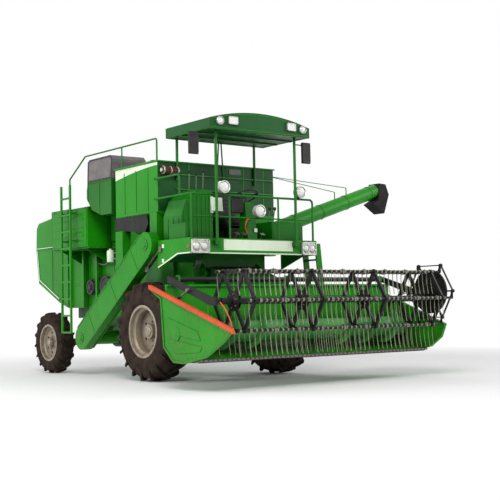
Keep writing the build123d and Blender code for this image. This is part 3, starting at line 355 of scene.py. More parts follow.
# Builds one finished piece out of plates, blocks, rods, rings and turned shapes
class Maker:
    def __init__(self):
        self.mesh = bmesh.new()

    def block(self, low, high, turn=None, about=None):
        size = Vector(high) - Vector(low)
        middle = (Vector(high) + Vector(low)) / 2
        made = bmesh.ops.create_cube(self.mesh, size=1.0)["verts"]
        bmesh.ops.scale(self.mesh, vec=size, verts=made)
        bmesh.ops.translate(self.mesh, vec=middle, verts=made)
        if turn:
            bmesh.ops.rotate(self.mesh, cent=about or middle, matrix=turn, verts=made)
        return made

    def rod(self, start, end, radius, sides=12, endRadius=None, capped=True):
        start, end = Vector(start), Vector(end)
        along = end - start
        made = bmesh.ops.create_cone(self.mesh, cap_ends=capped, segments=sides, radius1=radius,
            radius2=radius if endRadius is None else endRadius, depth=along.length)["verts"]
        turn = along.to_track_quat("Z", "Y").to_matrix()
        bmesh.ops.rotate(self.mesh, cent=(0, 0, 0), matrix=turn, verts=made)
        bmesh.ops.translate(self.mesh, vec=(start + end) / 2, verts=made)
        return made

    # Faces between two rings that have as many points
    def join(self, first, second):
        for k in range(len(first)):
            nextK = (k + 1) % len(first)
            self.mesh.faces.new((first[k], first[nextK], second[nextK], second[k]))

    # A face over each end of a row of rings
    def close(self, rings):
        self.mesh.faces.new(list(reversed(rings[0])))
        self.mesh.faces.new(rings[-1])

    # A tube of any bend: the points are joined by a smooth or straight run
    def run(self, points, radius, sides=10, smooth=False, steps=6, closed=False):
        points = [Vector(p) for p in points]
        if smooth:
            points = smoothRun(points, steps)
        count = len(points)
        normal = None
        rings = []
        for index, point in enumerate(points):
            before = points[index - 1] if index or closed else point
            after = points[(index + 1) % count] if index < count - 1 or closed else point
            along = (after - before).normalized()
            if normal is None:
                normal = along.orthogonal().normalized()
            normal = (normal - along * normal.dot(along)).normalized()
            across = along.cross(normal)
            rings.append([self.mesh.verts.new(point + radius * (normal * math.cos(a) + across * math.sin(a)))
                          for a in (2 * math.pi * k / sides for k in range(sides))])
        for index in range(count if closed else count - 1):
            self.join(rings[index], rings[(index + 1) % count])
        if not closed:
            self.close(rings)

    # A profile of (radius, along) turned about an axis through middle
    def turned(self, middle, axis, profile, sides=32, closed=False):
        middle, axis = Vector(middle), Vector(axis).normalized()
        first = axis.orthogonal().normalized()
        second = axis.cross(first)
        rings = []
        for radius, along in profile:
            if radius < 1e-6:
                rings.append([self.mesh.verts.new(middle + axis * along)])
                continue
            rings.append([self.mesh.verts.new(middle + axis * along + radius * (
                first * math.cos(a) + second * math.sin(a)))
                for a in (2 * math.pi * k / sides for k in range(sides))])
        pairs = list(zip(rings, rings[1:])) + ([(rings[-1], rings[0])] if closed else [])
        for low, high in pairs:
            for k in range(sides):
                nextK = (k + 1) % sides
                around = [low[k % len(low)], low[nextK % len(low)], high[nextK % len(high)], high[k % len(high)]]
                different = list(dict.fromkeys(around))
                if len(different) > 2:
                    self.mesh.faces.new(different)
        for ring, turnBack in ((rings[0], True), (rings[-1], False)):
            if len(ring) > 1 and not closed:
                self.mesh.faces.new(list(reversed(ring)) if turnBack else ring)

    # A flat outline pushed along a direction
    def plate(self, points, push):
        push = Vector(push)
        low = [self.mesh.verts.new(Vector(p)) for p in points]
        high = [self.mesh.verts.new(Vector(p) + push) for p in points]
        self.close([high, low])
        self.join(high, low)

    # A flat frame in the plane x: between an outline and its inset, pushed along x
    def border(self, x, outline, inset, push):
        inner = insetOutline(outline, inset)
        for k in range(len(outline)):
            nextK = (k + 1) % len(outline)
            points = (outline[k], outline[nextK], inner[nextK], inner[k])
            self.plate([(x, *point) for point in points], (push, 0, 0))

    # An upright frame of four strips, as wide and as tall as given
    def boxFrame(self, low, high, wide, tall):
        (x0, y0, z0), (x1, y1, z1) = low, high
        for bottom in (z0, z1 - tall):
            self.block((x0, y0, bottom), (x1, y1, bottom + tall))
        for edge in (x0, x1 - wide):
            self.block((edge, y0, z0), (edge + wide, y1, z1))

    def finish(self, name, body, material, slotName=None, ease=0.0, replaces=(), smooth=40):
        bmesh.ops.recalc_face_normals(self.mesh, faces=self.mesh.faces)
        mesh = bpy.data.meshes.new(name)
        self.mesh.to_mesh(mesh)
        self.mesh.free()
        piece = bpy.data.objects.new(name, mesh)
        bpy.context.scene.collection.objects.link(piece)
        mesh.materials.append(mats[material])
        settle(piece, body, ease, replaces, smooth)


# A curve through all the points
def smoothRun(points, steps):
    ends = [points[0] * 2 - points[1]] + points + [points[-1] * 2 - points[-2]]
    line = []
    for index in range(1, len(ends) - 2):
        before, start, end, after = ends[index - 1:index + 3]
        for step in range(steps):
            t = step / steps
            line.append(0.5 * (2 * start + (end - before) * t
                               + (2 * before - 5 * start + 4 * end - after) * t ** 2
                               + (3 * start - before - 3 * end + after) * t ** 3))
    return line + [points[-1]]


# Smooth faces with sharp creases, eased edges, and the piece's body
def settle(piece, body, ease=0.0, replaces=(), smooth=40):
    limit = math.cos(math.radians(smooth))
    mesh = piece.data
    mesh.polygons.foreach_set("use_smooth", [True] * len(mesh.polygons))
    work = bmesh.new()
    work.from_mesh(mesh)
    for edge in work.edges:
        faces = edge.link_faces
        edge.smooth = len(faces) == 2 and faces[0].normal.dot(faces[1].normal) > limit
    work.to_mesh(mesh)
    work.free()
    if ease:
        bevel = piece.modifiers.new("eased edges", "BEVEL")
        bevel.width = ease
        bevel.segments = 2
        bevel.limit_method = "ANGLE"
        bevel.angle_limit = math.radians(35)
        bevel.harden_normals = True
    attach(piece, body)
    if replaces:
        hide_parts(*replaces)


# One small shape repeated by Geometry Nodes at a list of places, each with its own turn and size
def repeat(name, body, material, shape, placements, smooth=40):
    shapeMesh = bpy.data.meshes.new(name + " shape")
    bmesh.ops.recalc_face_normals(shape.mesh, faces=shape.mesh.faces)
    shape.mesh.to_mesh(shapeMesh)
    shape.mesh.free()
    shapeObject = bpy.data.objects.new(name + " shape", shapeMesh)
    shapeObject.hide_render = True
    bpy.context.scene.collection.objects.link(shapeObject)

    points = bpy.data.meshes.new(name + " places")
    points.from_pydata([p[0] for p in placements], [], [])
    points.attributes.new("turn", "FLOAT_VECTOR", "POINT")
    points.attributes.new("size", "FLOAT", "POINT")
    for index, place in enumerate(placements):
        turn = (place[1].to_euler() if isinstance(place[1],
            Matrix) else Vector(place[1]).to_track_quat("Z", "Y").to_euler())
        points.attributes["turn"].data[index].vector = turn
        points.attributes["size"].data[index].value = place[2] if len(place) > 2 else 1.0
    piece = bpy.data.objects.new(name, points)
    bpy.context.scene.collection.objects.link(piece)

    tree = bpy.data.node_groups.new(name + " repeat", "GeometryNodeTree")
    sockets = {label: tree.interface.new_socket(label, in_out=way, socket_type="NodeSocket" + kind) for label, way,
        kind in (("Places", "INPUT", "Geometry"), ("Shape", "INPUT", "Object"), ("Overall size", "INPUT", "Float"),
        ("Finish", "INPUT", "Material"), ("Result", "OUTPUT", "Geometry"))}
    start, end, grow = (tree.nodes.new(kind) for kind in ("NodeGroupInput", "NodeGroupOutput", "ShaderNodeMath"))
    source, spread, turnRead, sizeRead, solid, finish = (tree.nodes.new("GeometryNode" + kind) for kind in (
        "ObjectInfo", "InstanceOnPoints", "InputNamedAttribute", "InputNamedAttribute", "RealizeInstances",
        "SetMaterial"))
    for node, kind, label in ((turnRead, "FLOAT_VECTOR", "turn"), (sizeRead, "FLOAT", "size")):
        node.data_type = kind
        node.inputs["Name"].default_value = label
    grow.operation = "MULTIPLY"
    for giver, output, taker, entry in ((start, "Places", spread, "Points"), (start, "Shape", source, "Object"),
            (source, "Geometry", spread, "Instance"), (turnRead, "Attribute", spread, "Rotation"),
            (sizeRead, "Attribute", grow, 0), (start, "Overall size", grow, 1), (grow, "Value", spread, "Scale"),
            (spread, "Instances", solid, "Geometry"), (solid, "Geometry", finish, "Geometry"),
            (start, "Finish", finish, "Material"), (finish, "Geometry", end, "Result")):
        tree.links.new(giver.outputs[output], taker.inputs[entry])
    modifier = piece.modifiers.new("repeat", "NODES")
    modifier.node_group = tree
    for label, value in (("Shape", shapeObject), ("Overall size", 1.0), ("Finish", mats[material])):
        modifier[sockets[label].identifier] = value

    bpy.context.view_layer.update()
    made = bpy.data.meshes.new_from_object(piece.evaluated_get(bpy.context.evaluated_depsgraph_get()))
    piece.modifiers.remove(modifier)
    piece.data = made
    bpy.data.objects.remove(shapeObject)
    settle(piece, body, smooth=smooth)


# Places along a straight row, both ends included
def row(start, end, step, towards, size=1.0):
    start, end = Vector(start), Vector(end)
    count = max(1, round((end - start).length / step))
    return [(start.lerp(end, k / count), towards, size) for k in range(count + 1)]


# Places around a circle, all turned along its axis
def circle(middle, axis, radius, count, size=1.0):
    middle, axis = Vector(middle), Vector(axis).normalized()
    one = axis.orthogonal().normalized()
    two = axis.cross(one)
    return [(middle + radius * (one * math.cos(a) + two * math.sin(a)), axis,
        size) for a in (2 * math.pi * k / count for k in range(count))]


# A hexagon bolt head with its washer, standing on the plane z = 0
def boltShape(across, height):
    shape = Maker()
    shape.turned((0, 0, 0), (0, 0, 1), [(across * 0.68, -0.001), (across * 0.68, 0.0022)], 12)
    shape.turned((0, 0, 0), (0, 0, 1), [(across * 0.52, 0.0), (across * 0.52, height * 0.8),
        (across * 0.42, height)], 6)
    return shape


# A round rivet or coach bolt head
def rivetShape(radius, height):
    shape = Maker()
    profile = [(radius, -0.001), (radius * 0.92, height * 0.45), (radius * 0.6, height * 0.85), (0, height)]
    shape.turned((0, 0, 0), (0, 0, 1), profile, 8)
    return shape

# Reel: each bat is a tube with a row of spring tines, and rides on its own body
reelLook = {"axis": (-2.78, 1.187), "batCentres": {1: (-2.33, 1.187), 2: (-2.555, 1.5767), 3: (-3.005, 1.5767),
    4: (-3.23, 1.187), 5: (-3.005, 0.7973), 6: (-2.555, 0.7973)}, "tube": (-1.85, 1.978, 0.018), "crank": 0.1,
    "crankFace": 1.966, "crankHalf": 0.02, "pinEnd": 2.01, "tinesEnd": 1.8, "tineStep": 0.088,
    "tineLength": 0.325, "tineRadius": 0.0036, "coilRadius": 0.0225, "coilWidth": 0.024, "clipsEnd": 1.64,
    "clipStep": 0.41, "spiders": (-1.72, -0.56, 0.6, 1.76), "spiderGap": 0.033}


def tineShape(look):
    shape = Maker()
    reach, coil, half = look["tineLength"], look["coilRadius"], look["coilWidth"] / 2
    shape.run([(0, -0.012, 0.0), (0, -0.03, -0.045), (0, -0.026, -reach * 0.55), (0, 0.0, -reach)],
        look["tineRadius"], sides=5, smooth=True, steps=2)
    for offset in (-half, half * 0.1):
        shape.turned((offset, 0, 0), (1, 0, 0), [(coil, 0), (coil * 1.04, half * 0.45), (coil, half * 0.9)], 10)
    return shape


def clipShape():
    shape = Maker()
    shape.block((-0.018, -0.027, -0.027), (0.018, 0.027, 0.027))
    shape.rod((0, 0, 0.02), (0, 0, 0.036), 0.009, 6)
    return shape


def makeBat(number, y, z, look):
    body = f"reel_bat_{number}"
    right, left, radius = look["tube"]
    face, half, top = look["crankFace"], look["crankHalf"], z + look["crank"]
    bat = Maker()
    bat.rod((right, y, z), (left, y, z), radius, 16)
    bat.plate([(face, y + half * math.cos(a), (top if math.sin(a) > 0 else z) + half * math.sin(a))
               for a in (math.pi * k / 8 for k in range(16))], (left - face, 0, 0))
    bat.rod((face, y, top), (look["pinEnd"], y, top), 0.01, 12)
    bat.finish(f"bat_tube_{number}", body, "black", replaces=(body,))
    # No tine stands where its coil or wire would sweep through a spider
    places = [place for place in row((-look["tinesEnd"], y, z), (look["tinesEnd"], y, z), look["tineStep"],
        (0, 0, 1)) if min(abs(place[0][0] - x) for x in look["spiders"]) > look["spiderGap"]]
    repeat(f"tines_{number}", body, "tine", tineShape(look), places, 60)
    repeat(f"bat_clips_{number}", body, "steel", clipShape(), row((-look["clipsEnd"], y, z), (look["clipsEnd"], y,
        z), look["clipStep"], (0, 0, 1)))


for number, centre in reelLook["batCentres"].items():
    makeBat(number, *centre, reelLook)

# Hexagon rims and hub plates of the spiders
spiderLook = {"rimWidth": 0.052, "rimThickness": 0.03, "rimStart": 0.03, "boltCircle": 0.092, "hub": [(0.135, 0),
    (0.135, 0.006), (0.07, 0.01), (0.06, 0.03), (0.046, 0.03)]}
spiderRims, spiderBolts = Maker(), []
halfRim = spiderLook["rimThickness"] / 2
for x in reelLook["spiders"]:
    centres = [Vector((x - halfRim, y, z)) for y, z in reelLook["batCentres"].values()]
    for first, second in zip(centres, centres[1:] + centres[:1]):
        along = (second - first).normalized()
        across = Vector((1, 0, 0)).cross(along) * spiderLook["rimWidth"] / 2
        start, end = first + along * spiderLook["rimStart"], second - along * spiderLook["rimStart"]
        spiderRims.plate([start - across, end - across, end + across, start + across], (spiderLook["rimThickness"],
            0, 0))
    for side in (-1, 1):
        spiderRims.turned((x + side * halfRim, *reelLook["axis"]), (side, 0, 0), spiderLook["hub"], 24)
        spiderBolts += circle((x + side * (halfRim + 0.008), *reelLook["axis"]), (side, 0, 0),
            spiderLook["boltCircle"], 6)
spiderRims.finish("spider_rims", "reel_rotor", "black", ease=0.0015)
repeat("spider_bolts", "reel_rotor", "steel", boltShape(0.018, 0.012), spiderBolts)
print("reel dressed")


# Table auger: two flights that feed inwards, and fingers in the middle
augerLook = {"y": -2.05, "z": 0.77, "tube": 0.15, "flight": 0.245, "outer": 2.03, "inner": 0.53, "pitch": 0.48,
    "thickness": 0.006, "fingerReach": 0.085, "fingers": 12, "fingerStep": 0.08, "firstFinger": -0.44,
    "fingerTurn": math.radians(150)}


def makeFlights(look):
    flights = Maker()
    length, root = look["outer"] - look["inner"], look["tube"] - 0.004
    turns = length / look["pitch"]
    steps = int(turns * 28)
    section = ((root, 0), (look["flight"], 0), (look["flight"], look["thickness"]), (root, look["thickness"]))
    for side in (-1, 1):
        rings = []
        for k in range(steps + 1):
            angle = side * 2 * math.pi * turns * k / steps
            x = side * (look["outer"] - length * k / steps)
            rings.append([flights.mesh.verts.new((x + push, look["y"] + radius * math.cos(angle),
                look["z"] + radius * math.sin(angle))) for radius, push in section])
        for before, after in zip(rings, rings[1:]):
            flights.join(before, after)
        flights.close(rings)
    flights.finish("auger_flights", "table_auger", "pale", smooth=50)


def makeFingers(look):
    places = []
    for k in range(look["fingers"]):
        angle = look["fingerTurn"] * k
        out = Vector((0, math.cos(angle), math.sin(angle)))
        foot = Vector((look["firstFinger"] + look["fingerStep"] * k, look["y"], look["z"]))
        places.append((foot + out * (look["tube"] - 0.006), out))
    finger, reach = Maker(), look["fingerReach"]
    finger.turned((0, 0, 0), (0, 0, 1), [(0.022, 0), (0.022, 0.014), (0.008, 0.018), (0.007, reach),
        (0, reach + 0.006)], 8)
    repeat("auger_fingers", "table_auger", "steel", finger, places, 60)


makeFlights(augerLook)
makeFingers(augerLook)

# Cutter bar: pointed guards with their feet
knifeLook = {"pitch": 0.0762, "end": 2.057, "y": -2.57, "z": 0.418, "reach": 0.075}
guard = Maker()
guard.plate([(-0.013, 0.0, -0.01), (0.013, 0.0, -0.01), (0.01, 0.045, -0.008), (0.0, knifeLook["reach"], 0.0),
    (-0.01, 0.045, -0.008)], (0, 0, 0.018))
guard.block((-0.024, -0.03, -0.01), (0.024, 0.0, 0.006))
for vert in guard.mesh.verts:
    vert.co.y = -vert.co.y
repeat("knife_guards", "header", "steel", guard, row((-knifeLook["end"], knifeLook["y"], knifeLook["z"]),
    (knifeLook["end"], knifeLook["y"], knifeLook["z"]), knifeLook["pitch"], (0, 0, 1)))

# Header's back sheet: top beam, ribs, a waist strip, and the lip of the trough
headerLook = {"end": 2.105, "ribs": (-1.75, -1.25, -0.75, 0.75, 1.25, 1.75)}
end = headerLook["end"]
headerTrim = Maker()
headerTrim.block((-end, -1.8, 1.405), (end, -1.738, 1.433))
headerTrim.block((-end, -1.738, 1.36), (end, -1.722, 1.43))
for x in headerLook["ribs"]:
    headerTrim.block((x - 0.025, -1.742, 0.72), (x + 0.025, -1.712, 1.36))
headerTrim.block((-end, -1.742, 0.94), (end, -1.718, 0.99))
headerTrim.finish("header_trim", "header", "bright", ease=0.003)
headerLip = Maker()
headerLip.block((-2.108, -2.525, 0.386), (2.108, -2.5, 0.404))
headerLip.finish("header_lip", "header", "black", ease=0.002)

# End sheets: the right one is whole, the left one is shorter, as the photo shows it
endLook = {"inside": 2.11, "face": 2.15, "thickness": 0.04, "bearing": (-2.05, 0.77), "flange": 0.032,
    "whole": [(-1.4, 1.38), (-1.68, 1.23), (-1.74, 0.58), (-1.98, 0.38), (-2.23, 0.37), (-2.5, 0.42),
    (-2.71, 0.46), (-3.1, 0.66), (-3.28, 0.79)], "shortTip": [(-2.64, 0.45), (-2.86, 0.6),
    (-2.94, 0.78)], "pressings": ([(-1.86, 0.98), (-2.56, 0.8), (-2.62, 0.68), (-1.9, 0.78)], [(-1.86, 0.7),
    (-2.66, 0.6), (-2.6, 0.53), (-2.05, 0.5)])}


# The outline moved inwards by an even distance
def insetOutline(points, inset):
    count = len(points)
    area = sum(points[k][0] * points[(k + 1) % count][1] - points[(k + 1) % count][0] * points[k][1]
               for k in range(count))
    hand = 1 if area > 0 else -1
    moved = []
    for k in range(count):
        before, here, after = Vector(points[k - 1]), Vector(points[k]), Vector(points[(k + 1) % count])
        first, second = (here - before).normalized(), (after - here).normalized()
        normalOne = Vector((-first.y, first.x)) * hand
        normalTwo = Vector((-second.y, second.x)) * hand
        bisector = (normalOne + normalTwo).normalized()
        moved.append(here + bisector * inset / max(0.35, bisector.dot(normalOne)))
    return moved


def makeEndSheet(side, name, outline, replaced, look):
    face, skin, out = side * look["face"], side * (look["face"] - 0.001), (side, 0, 0)
    sheet = Maker()
    sheet.plate([(side * look["inside"], *point) for point in outline], (side * look["thickness"], 0, 0))
    sheet.rod((side * look["inside"], -1.8, 1.13), (side * 2.062, -1.8, 1.13), 0.012, 14)
    sheet.border(skin, outline, look["flange"], side * 0.011)
    for pressing in look["pressings"]:
        sheet.plate([(skin, *point) for point in pressing], (side * 0.008, 0, 0))
    sheet.turned((face, *look["bearing"]), out, [(0.105, -0.002), (0.105, 0.01), (0.07, 0.014), (0, 0.0155)], 28)
    sheet.finish(f"end_sheet_{name}", "header", "bright", ease=0.002, replaces=replaced)
    bolts = circle((side * 2.16, *look["bearing"]), out, 0.088, 6)
    middle = insetOutline(outline, look["flange"] / 2)
    for first, second in zip(middle, middle[1:] + middle[:1]):
        start, end = first.lerp(second, 0.12), first.lerp(second, 0.88)
        bolts += row((side * 2.1595, *start), (side * 2.1595, *end), 0.16, out, 0.8)
    repeat(f"end_bolts_{name}", "header", "steel", boltShape(0.015, 0.008), bolts)


makeEndSheet(-1, "right", endLook["whole"], ("header_ends",), endLook)
makeEndSheet(1, "left", endLook["whole"][:6] + endLook["shortTip"], (), endLook)

# Orange bar along the right end's top edge with its crop rod; green edge and bow on the left
divider = Maker()
divider.plate([(-2.112, -1.4, 1.381), (-2.112, -1.4, 1.44), (-2.112, -3.29, 0.846), (-2.112, -3.34, 0.77),
    (-2.112, -3.281, 0.791)], (-0.058, 0, 0))
divider.finish("divider_orange", "header", "orange", ease=0.006, replaces=("divider_bars",))
leftEdge = Maker()
leftEdge.plate([(2.112, -1.4, 1.381), (2.112, -1.4, 1.4), (2.112, -2.945, 0.8), (2.112, -2.94, 0.781)],
    (0.05, 0, 0))
leftEdge.finish("left_edge", "header", "bright", ease=0.003)
cropRod = Maker()
cropRod.run([(-2.125, -3.27, 0.86), (-2.125, -3.235, 0.95), (-2.125, -3.13, 1.09), (-2.125, -3.03, 1.17)], 0.008,
    smooth=True)
cropRod.finish("divider_rod", "header", "orange")
bow = Maker()
bow.run([(2.13, -1.92, 1.22), (2.13, -2.3, 1.3), (2.13, -2.62, 1.16), (2.13, -2.62, 0.92), (2.13, -2.46, 0.84)],
    0.009, smooth=True)
bow.finish("left_bow", "header", "chrome")
print("header dressed")


# Lamps: bezels, fluted glass, and round bowls in the headlamp clusters
lampLook = {"work": ((-0.69, 2.902), (-0.02, 2.567), (0.8, 2.902)), "workFace": -1.216, "workRadius": 0.095,
    "roof": (-0.889, 0.701), "roofHeight": 3.853, "roofFace": -1.41, "roofRadius": 0.062,
    "roofBox": (-0.649, 0.471), "roofBoxHalf": 0.084, "clusters": ((-1.284, -0.974), (0.82, 1.1)),
    "clusterFace": -1.196, "clusterHeight": 2.013, "clusterRadius": 0.068}
bezels, glasses = Maker(), Maker()


def roundLamp(x, y, z, radius):
    bezels.turned((x, y, z), (0, -1, 0), [(radius * 0.84, -0.002), (radius * 0.84, 0.01), (radius * 0.9, 0.015),
        (radius * 1.02, 0.01), (radius * 1.04, -0.012), (radius, -0.014)], 32, closed=True)
    glasses.turned((x, y, z), (0, -1, 0), [(radius * 0.86, 0.0), (radius * 0.84, 0.004), (radius * 0.5, 0.014),
        (0, 0.018)], 32)


for x, z in lampLook["work"]:
    roundLamp(x, lampLook["workFace"], z, lampLook["workRadius"])
for x in lampLook["roof"]:
    roundLamp(x, lampLook["roofFace"], lampLook["roofHeight"], lampLook["roofRadius"])
for x in lampLook["roofBox"]:
    half = lampLook["roofBoxHalf"]
    bezels.boxFrame((x - half, -1.42, 3.814), (x + half, -1.392, 3.932), 0.01, 0.01)
    glasses.block((x - half + 0.01, -1.415, 3.824), (x + half - 0.01, -1.405, 3.922))
for right, left in lampLook["clusters"]:
    y = lampLook["clusterFace"]
    bezels.boxFrame((right - 0.004, y - 0.012, 1.912), (left + 0.004, y + 0.01, 2.114), 0.012, 0.014)
    for share in (0.27, 0.73):
        roundLamp(right + (left - right) * share, y, lampLook["clusterHeight"], lampLook["clusterRadius"])
bezels.finish("lamp_bezels", "root", "chrome", ease=0.0015, smooth=50)
glasses.finish("lamp_glasses", "root", "lamp", smooth=50)
lampBacks = Maker()
for x, z in lampLook["work"]:
    lampBacks.turned((x, -1.136, z), (0, 1, 0), [(0.094, -0.002), (0.08, 0.022), (0.045, 0.04), (0, 0.044)], 28)
    lampBacks.block((x - 0.012, -1.16, z - 0.118), (x + 0.012, -1.11, z - 0.086))
lampBacks.finish("lamp_backs", "root", "black", ease=0.002)
sideMarker = Maker()
sideMarker.block((-1.3, -1.13, 1.985), (-1.292, -1.085, 2.035))
sideMarker.finish("side_marker", "root", "red", ease=0.002)

# Fascia: bare white plate, white trims, white squares on the skirt
plateLook = {"right": -0.69, "left": 0.64, "bottom": 1.962, "top": 2.122, "face": -1.166}
fascia, face = Maker(), plateLook["face"]
fascia.block((plateLook["right"], face - 0.004, plateLook["bottom"]), (plateLook["left"], face + 0.002,
    plateLook["top"]))
fascia.block((-1.292, face - 0.003, 1.908), (1.138, face + 0.002, 1.926))
for low, high in ((-1.297, -1.2935), (1.1395, 1.143)):
    fascia.plate([(low, -1.16, 1.908), (low, -0.836, 1.908), (low, -0.294, 1.722), (low, -0.294, 1.744),
        (low, -0.832, 1.928), (low, -1.16, 1.928)], (high - low, 0, 0))
for z in (2.05, 1.83):
    fascia.block((-1.298, -0.465, z - 0.028), (-1.2935, -0.41, z + 0.028))
fascia.finish("fascia_trim", "root", "trim", ease=0.001)
repeat("plate_rivets", "root", "steel", rivetShape(0.006, 0.004),
       [((x, -1.1705, z), (0, -1, 0)) for x in (-0.66, 0.61) for z in (1.985, 2.1)])
print("lamps and fascia dressed")


# Wheels: nuts and ring on the disc, hub cap, rounded carcass, slanted lugs in two rows, valve
wheelLook = {"front": {"x": 1.204, "y": 0.0, "z": 0.765, "disc": 0.008, "nuts": 0.15, "count": 8, "hubFace": 0.095,
    "cap": 0.075, "radius": 0.7645, "half": 0.2335, "bead": 0.381, "rimHalf": 0.19, "lugs": 18, "lugHeight": 0.038,
    "sweep": 0.235}, "rear": {"x": 1.11, "y": 3.49, "z": 0.545, "disc": 0.04, "nuts": 0.112, "count": 6,
    "hubFace": 0.105, "cap": 0.055, "radius": 0.5445, "half": 0.15, "bead": 0.305, "rimHalf": 0.114, "lugs": 16,
    "lugHeight": 0.03, "sweep": 0.24}}
wheels = [(end, look, side, hand) for end, look in wheelLook.items() for side, hand in ((-1, "right"), (1, "left"))]


def makeHub(end, look, side, hand):
    body, out, nuts, cap = f"{end}_wheel_{hand}", (side, 0, 0), look["nuts"], look["cap"]
    face = (side * (look["x"] + look["disc"] + 0.008), look["y"], look["z"])
    tip = side * (look["x"] + look["hubFace"])
    repeat(f"{end}_nuts_{hand}", body, "steel", boltShape(0.03, 0.02), circle(face, out, nuts, look["count"]))
    hub = Maker()
    hub.turned((tip, look["y"], look["z"]), out, [(cap, -0.004), (cap, 0.01), (cap * 0.8, 0.02), (0, 0.026)], 28)
    hub.turned(face, out, [(nuts + 0.03, -0.004), (nuts + 0.03, 0.004), (nuts - 0.04, 0.004),
        (nuts - 0.04, -0.004)], 40, closed=True)
    hub.finish(f"{end}_hub_{hand}", body, "rim", ease=0.002)
    repeat(f"{end}_cap_bolts_{hand}", body, "steel", boltShape(0.014, 0.009), circle((tip + side * 0.012, look["y"],
        look["z"]), out, cap * 0.72, 6))


def tyreProfile(look):
    crown, bead = look["radius"] - look["lugHeight"], look["bead"]
    half, rimHalf = look["half"] - 0.004, look["rimHalf"]
    outside = [(bead + 0.001, rimHalf), (bead + 0.03, rimHalf + 0.006), (bead + 0.036, rimHalf + 0.016)]
    outside += [(bead + (crown - bead) * up, half * out) for up, out in ((0.22, 0.955), (0.27, 0.985), (0.3, 0.975),
        (0.52, 1.0), (0.56, 0.985), (0.72, 0.965), (0.86, 0.9), (0.95, 0.7), (1.0, 0.3))]
    return outside + [(radius, -along) for radius, along in reversed(outside)]


# Sections of a lug from the middle to the shoulder: share of the half width, depths of foot and top
lugSections = ((0.04, 0.012, 0.0), (0.35, 0.014, 0.002), (0.68, 0.03, 0.007), (0.93, 0.06, 0.02),
    (1.0, 0.11, 0.06))
lugFoot, lugTop = 0.024, 0.018


# Both rows' lugs at the lowest place of the tyre, the inner row half a pitch on
def tyreLugs(look, hand):
    shape = Maker()
    for side in (-1, 1):
        offset = 0.0 if side * hand > 0 else math.pi / look["lugs"]
        rings = []
        for share, foot, top in lugSections:
            low, high = look["radius"] - look["lugHeight"] - foot, look["radius"] - top
            x = side * min(look["half"] * share, look["half"] - 0.0005)
            ring = []
            for radius, width in ((low, lugFoot), (high, lugTop), (high, -lugTop), (low, -lugFoot)):
                turn = offset + look["sweep"] * min(share, 0.96) + width / radius
                ring.append(shape.mesh.verts.new((x, -radius * math.cos(turn), radius * math.sin(turn))))
            rings.append(ring)
        for first, second in zip(rings, rings[1:]):
            shape.join(first, second)
        shape.close(rings)
    return shape


def makeTyre(end, look, side, hand):
    body, y, z = f"{end}_wheel_{hand}", look["y"], look["z"]
    x, bead = side * look["x"], look["bead"]
    carcass = Maker()
    carcass.turned((x, y, z), (1, 0, 0), tyreProfile(look), 72, closed=True)
    carcass.finish(f"{end}_carcass_{hand}", body, "tyre", replaces=(f"{end}_tyre_{hand}",), smooth=60)
    places = [((x, y, z), Matrix.Rotation(2 * math.pi * k / look["lugs"] + 0.09, 3,
        "X")) for k in range(look["lugs"])]
    repeat(f"{end}_lugs_{hand}", body, "tyre", tyreLugs(look, side), places, 35)
    valve = Maker()
    valve.rod((x + side * (look["rimHalf"] - 0.02), y - bead * 0.9, z), (x + side * (look["rimHalf"] + 0.008),
        y - bead * 0.88, z), 0.007, 8)
    valve.finish(f"{end}_valve_{hand}", body, "rubber")


for wheel in wheels:
    makeHub(*wheel)
for wheel in wheels:
    makeTyre(*wheel)
print("wheels dressed")


# Grain tank: rim, ribs, pale strip that curves along the right side, a dark sheet of painted shade on its front,
# bare plate, pale rails, rivets
tankLook = {"right": -1.2, "left": 1.08, "front": -0.17, "rear": 1.1, "top": 3.4, "rim": 0.022,
    "sideRibs": (0.12, 0.47, 0.82), "frontRibs": (-0.62, 0.45, 0.86), "stripDrop": 0.045, "stripCurve": 0.125,
    "rails": (3.195, 2.965)}
right, left, front, rear, top, edge = (tankLook[k] for k in ("right", "left", "front", "rear", "top", "rim"))
tankRim = Maker()
for low, high in (((right - edge, front - edge), (left + edge, front)), ((right - edge, rear),
        (left + edge, rear + edge)), ((right - edge, front), (right, rear)), ((left, front), (left + edge, rear))):
    tankRim.block((*low, top - edge), (*high, top))
for y in tankLook["sideRibs"]:
    tankRim.block((right - 0.007, y - 0.014, 2.64), (right + 0.002, y + 0.014, 3.3))
    tankRim.block((left - 0.002, y - 0.014, 2.56), (left + 0.007, y + 0.014, 3.38))
for x in tankLook["frontRibs"]:
    tankRim.block((x - 0.014, front - 0.009, 2.64), (x + 0.014, front + 0.002, 3.37))
tankRim.finish("tank_rim", "root", "bright", ease=0.002)
strip, stripTop = Maker(), 3.372
lower = [(1.095 - 1.26 * k / 14,
    stripTop - tankLook["stripDrop"] - tankLook["stripCurve"] * (1 - k / 14) ** 1.6) for k in range(15)]
strip.plate([(-1.2035, *point) for point in [(-0.165, stripTop), (1.095, stripTop)] + lower], (0.004, 0, 0))
strip.finish("tank_strip", "root", "trim")
# A dark sheet over the tank's front face: painted shade
tankFrontShade = Maker()
tankFrontShade.block((-1.198, -0.1735, 2.62), (1.078, -0.1685, 3.376))
tankFrontShade.finish("tank_front_sheet", "root", "deepShadedGreen")
barePlate = Maker()
barePlate.block((0.16, -0.1795, 3.255), (0.4, -0.172, 3.345))
barePlate.finish("tank_plate", "root", "plate", ease=0.002)
rails = Maker()
for z in tankLook["rails"]:
    rails.run([(-0.86, -0.186, z), (1.06, -0.186, z)], 0.01)
    rails.block((1.045, -0.196, z - 0.014), (1.06, -0.168, z + 0.014))
rails.finish("tank_rails", "root", "pale")
rivets = []
for z in (2.66, 3.35):
    for side, x in ((-1, right - 0.0005), (1, left + 0.0005)):
        rivets += row((x, -0.14, z), (x, 1.07, z), 0.11, (side, 0, 0))
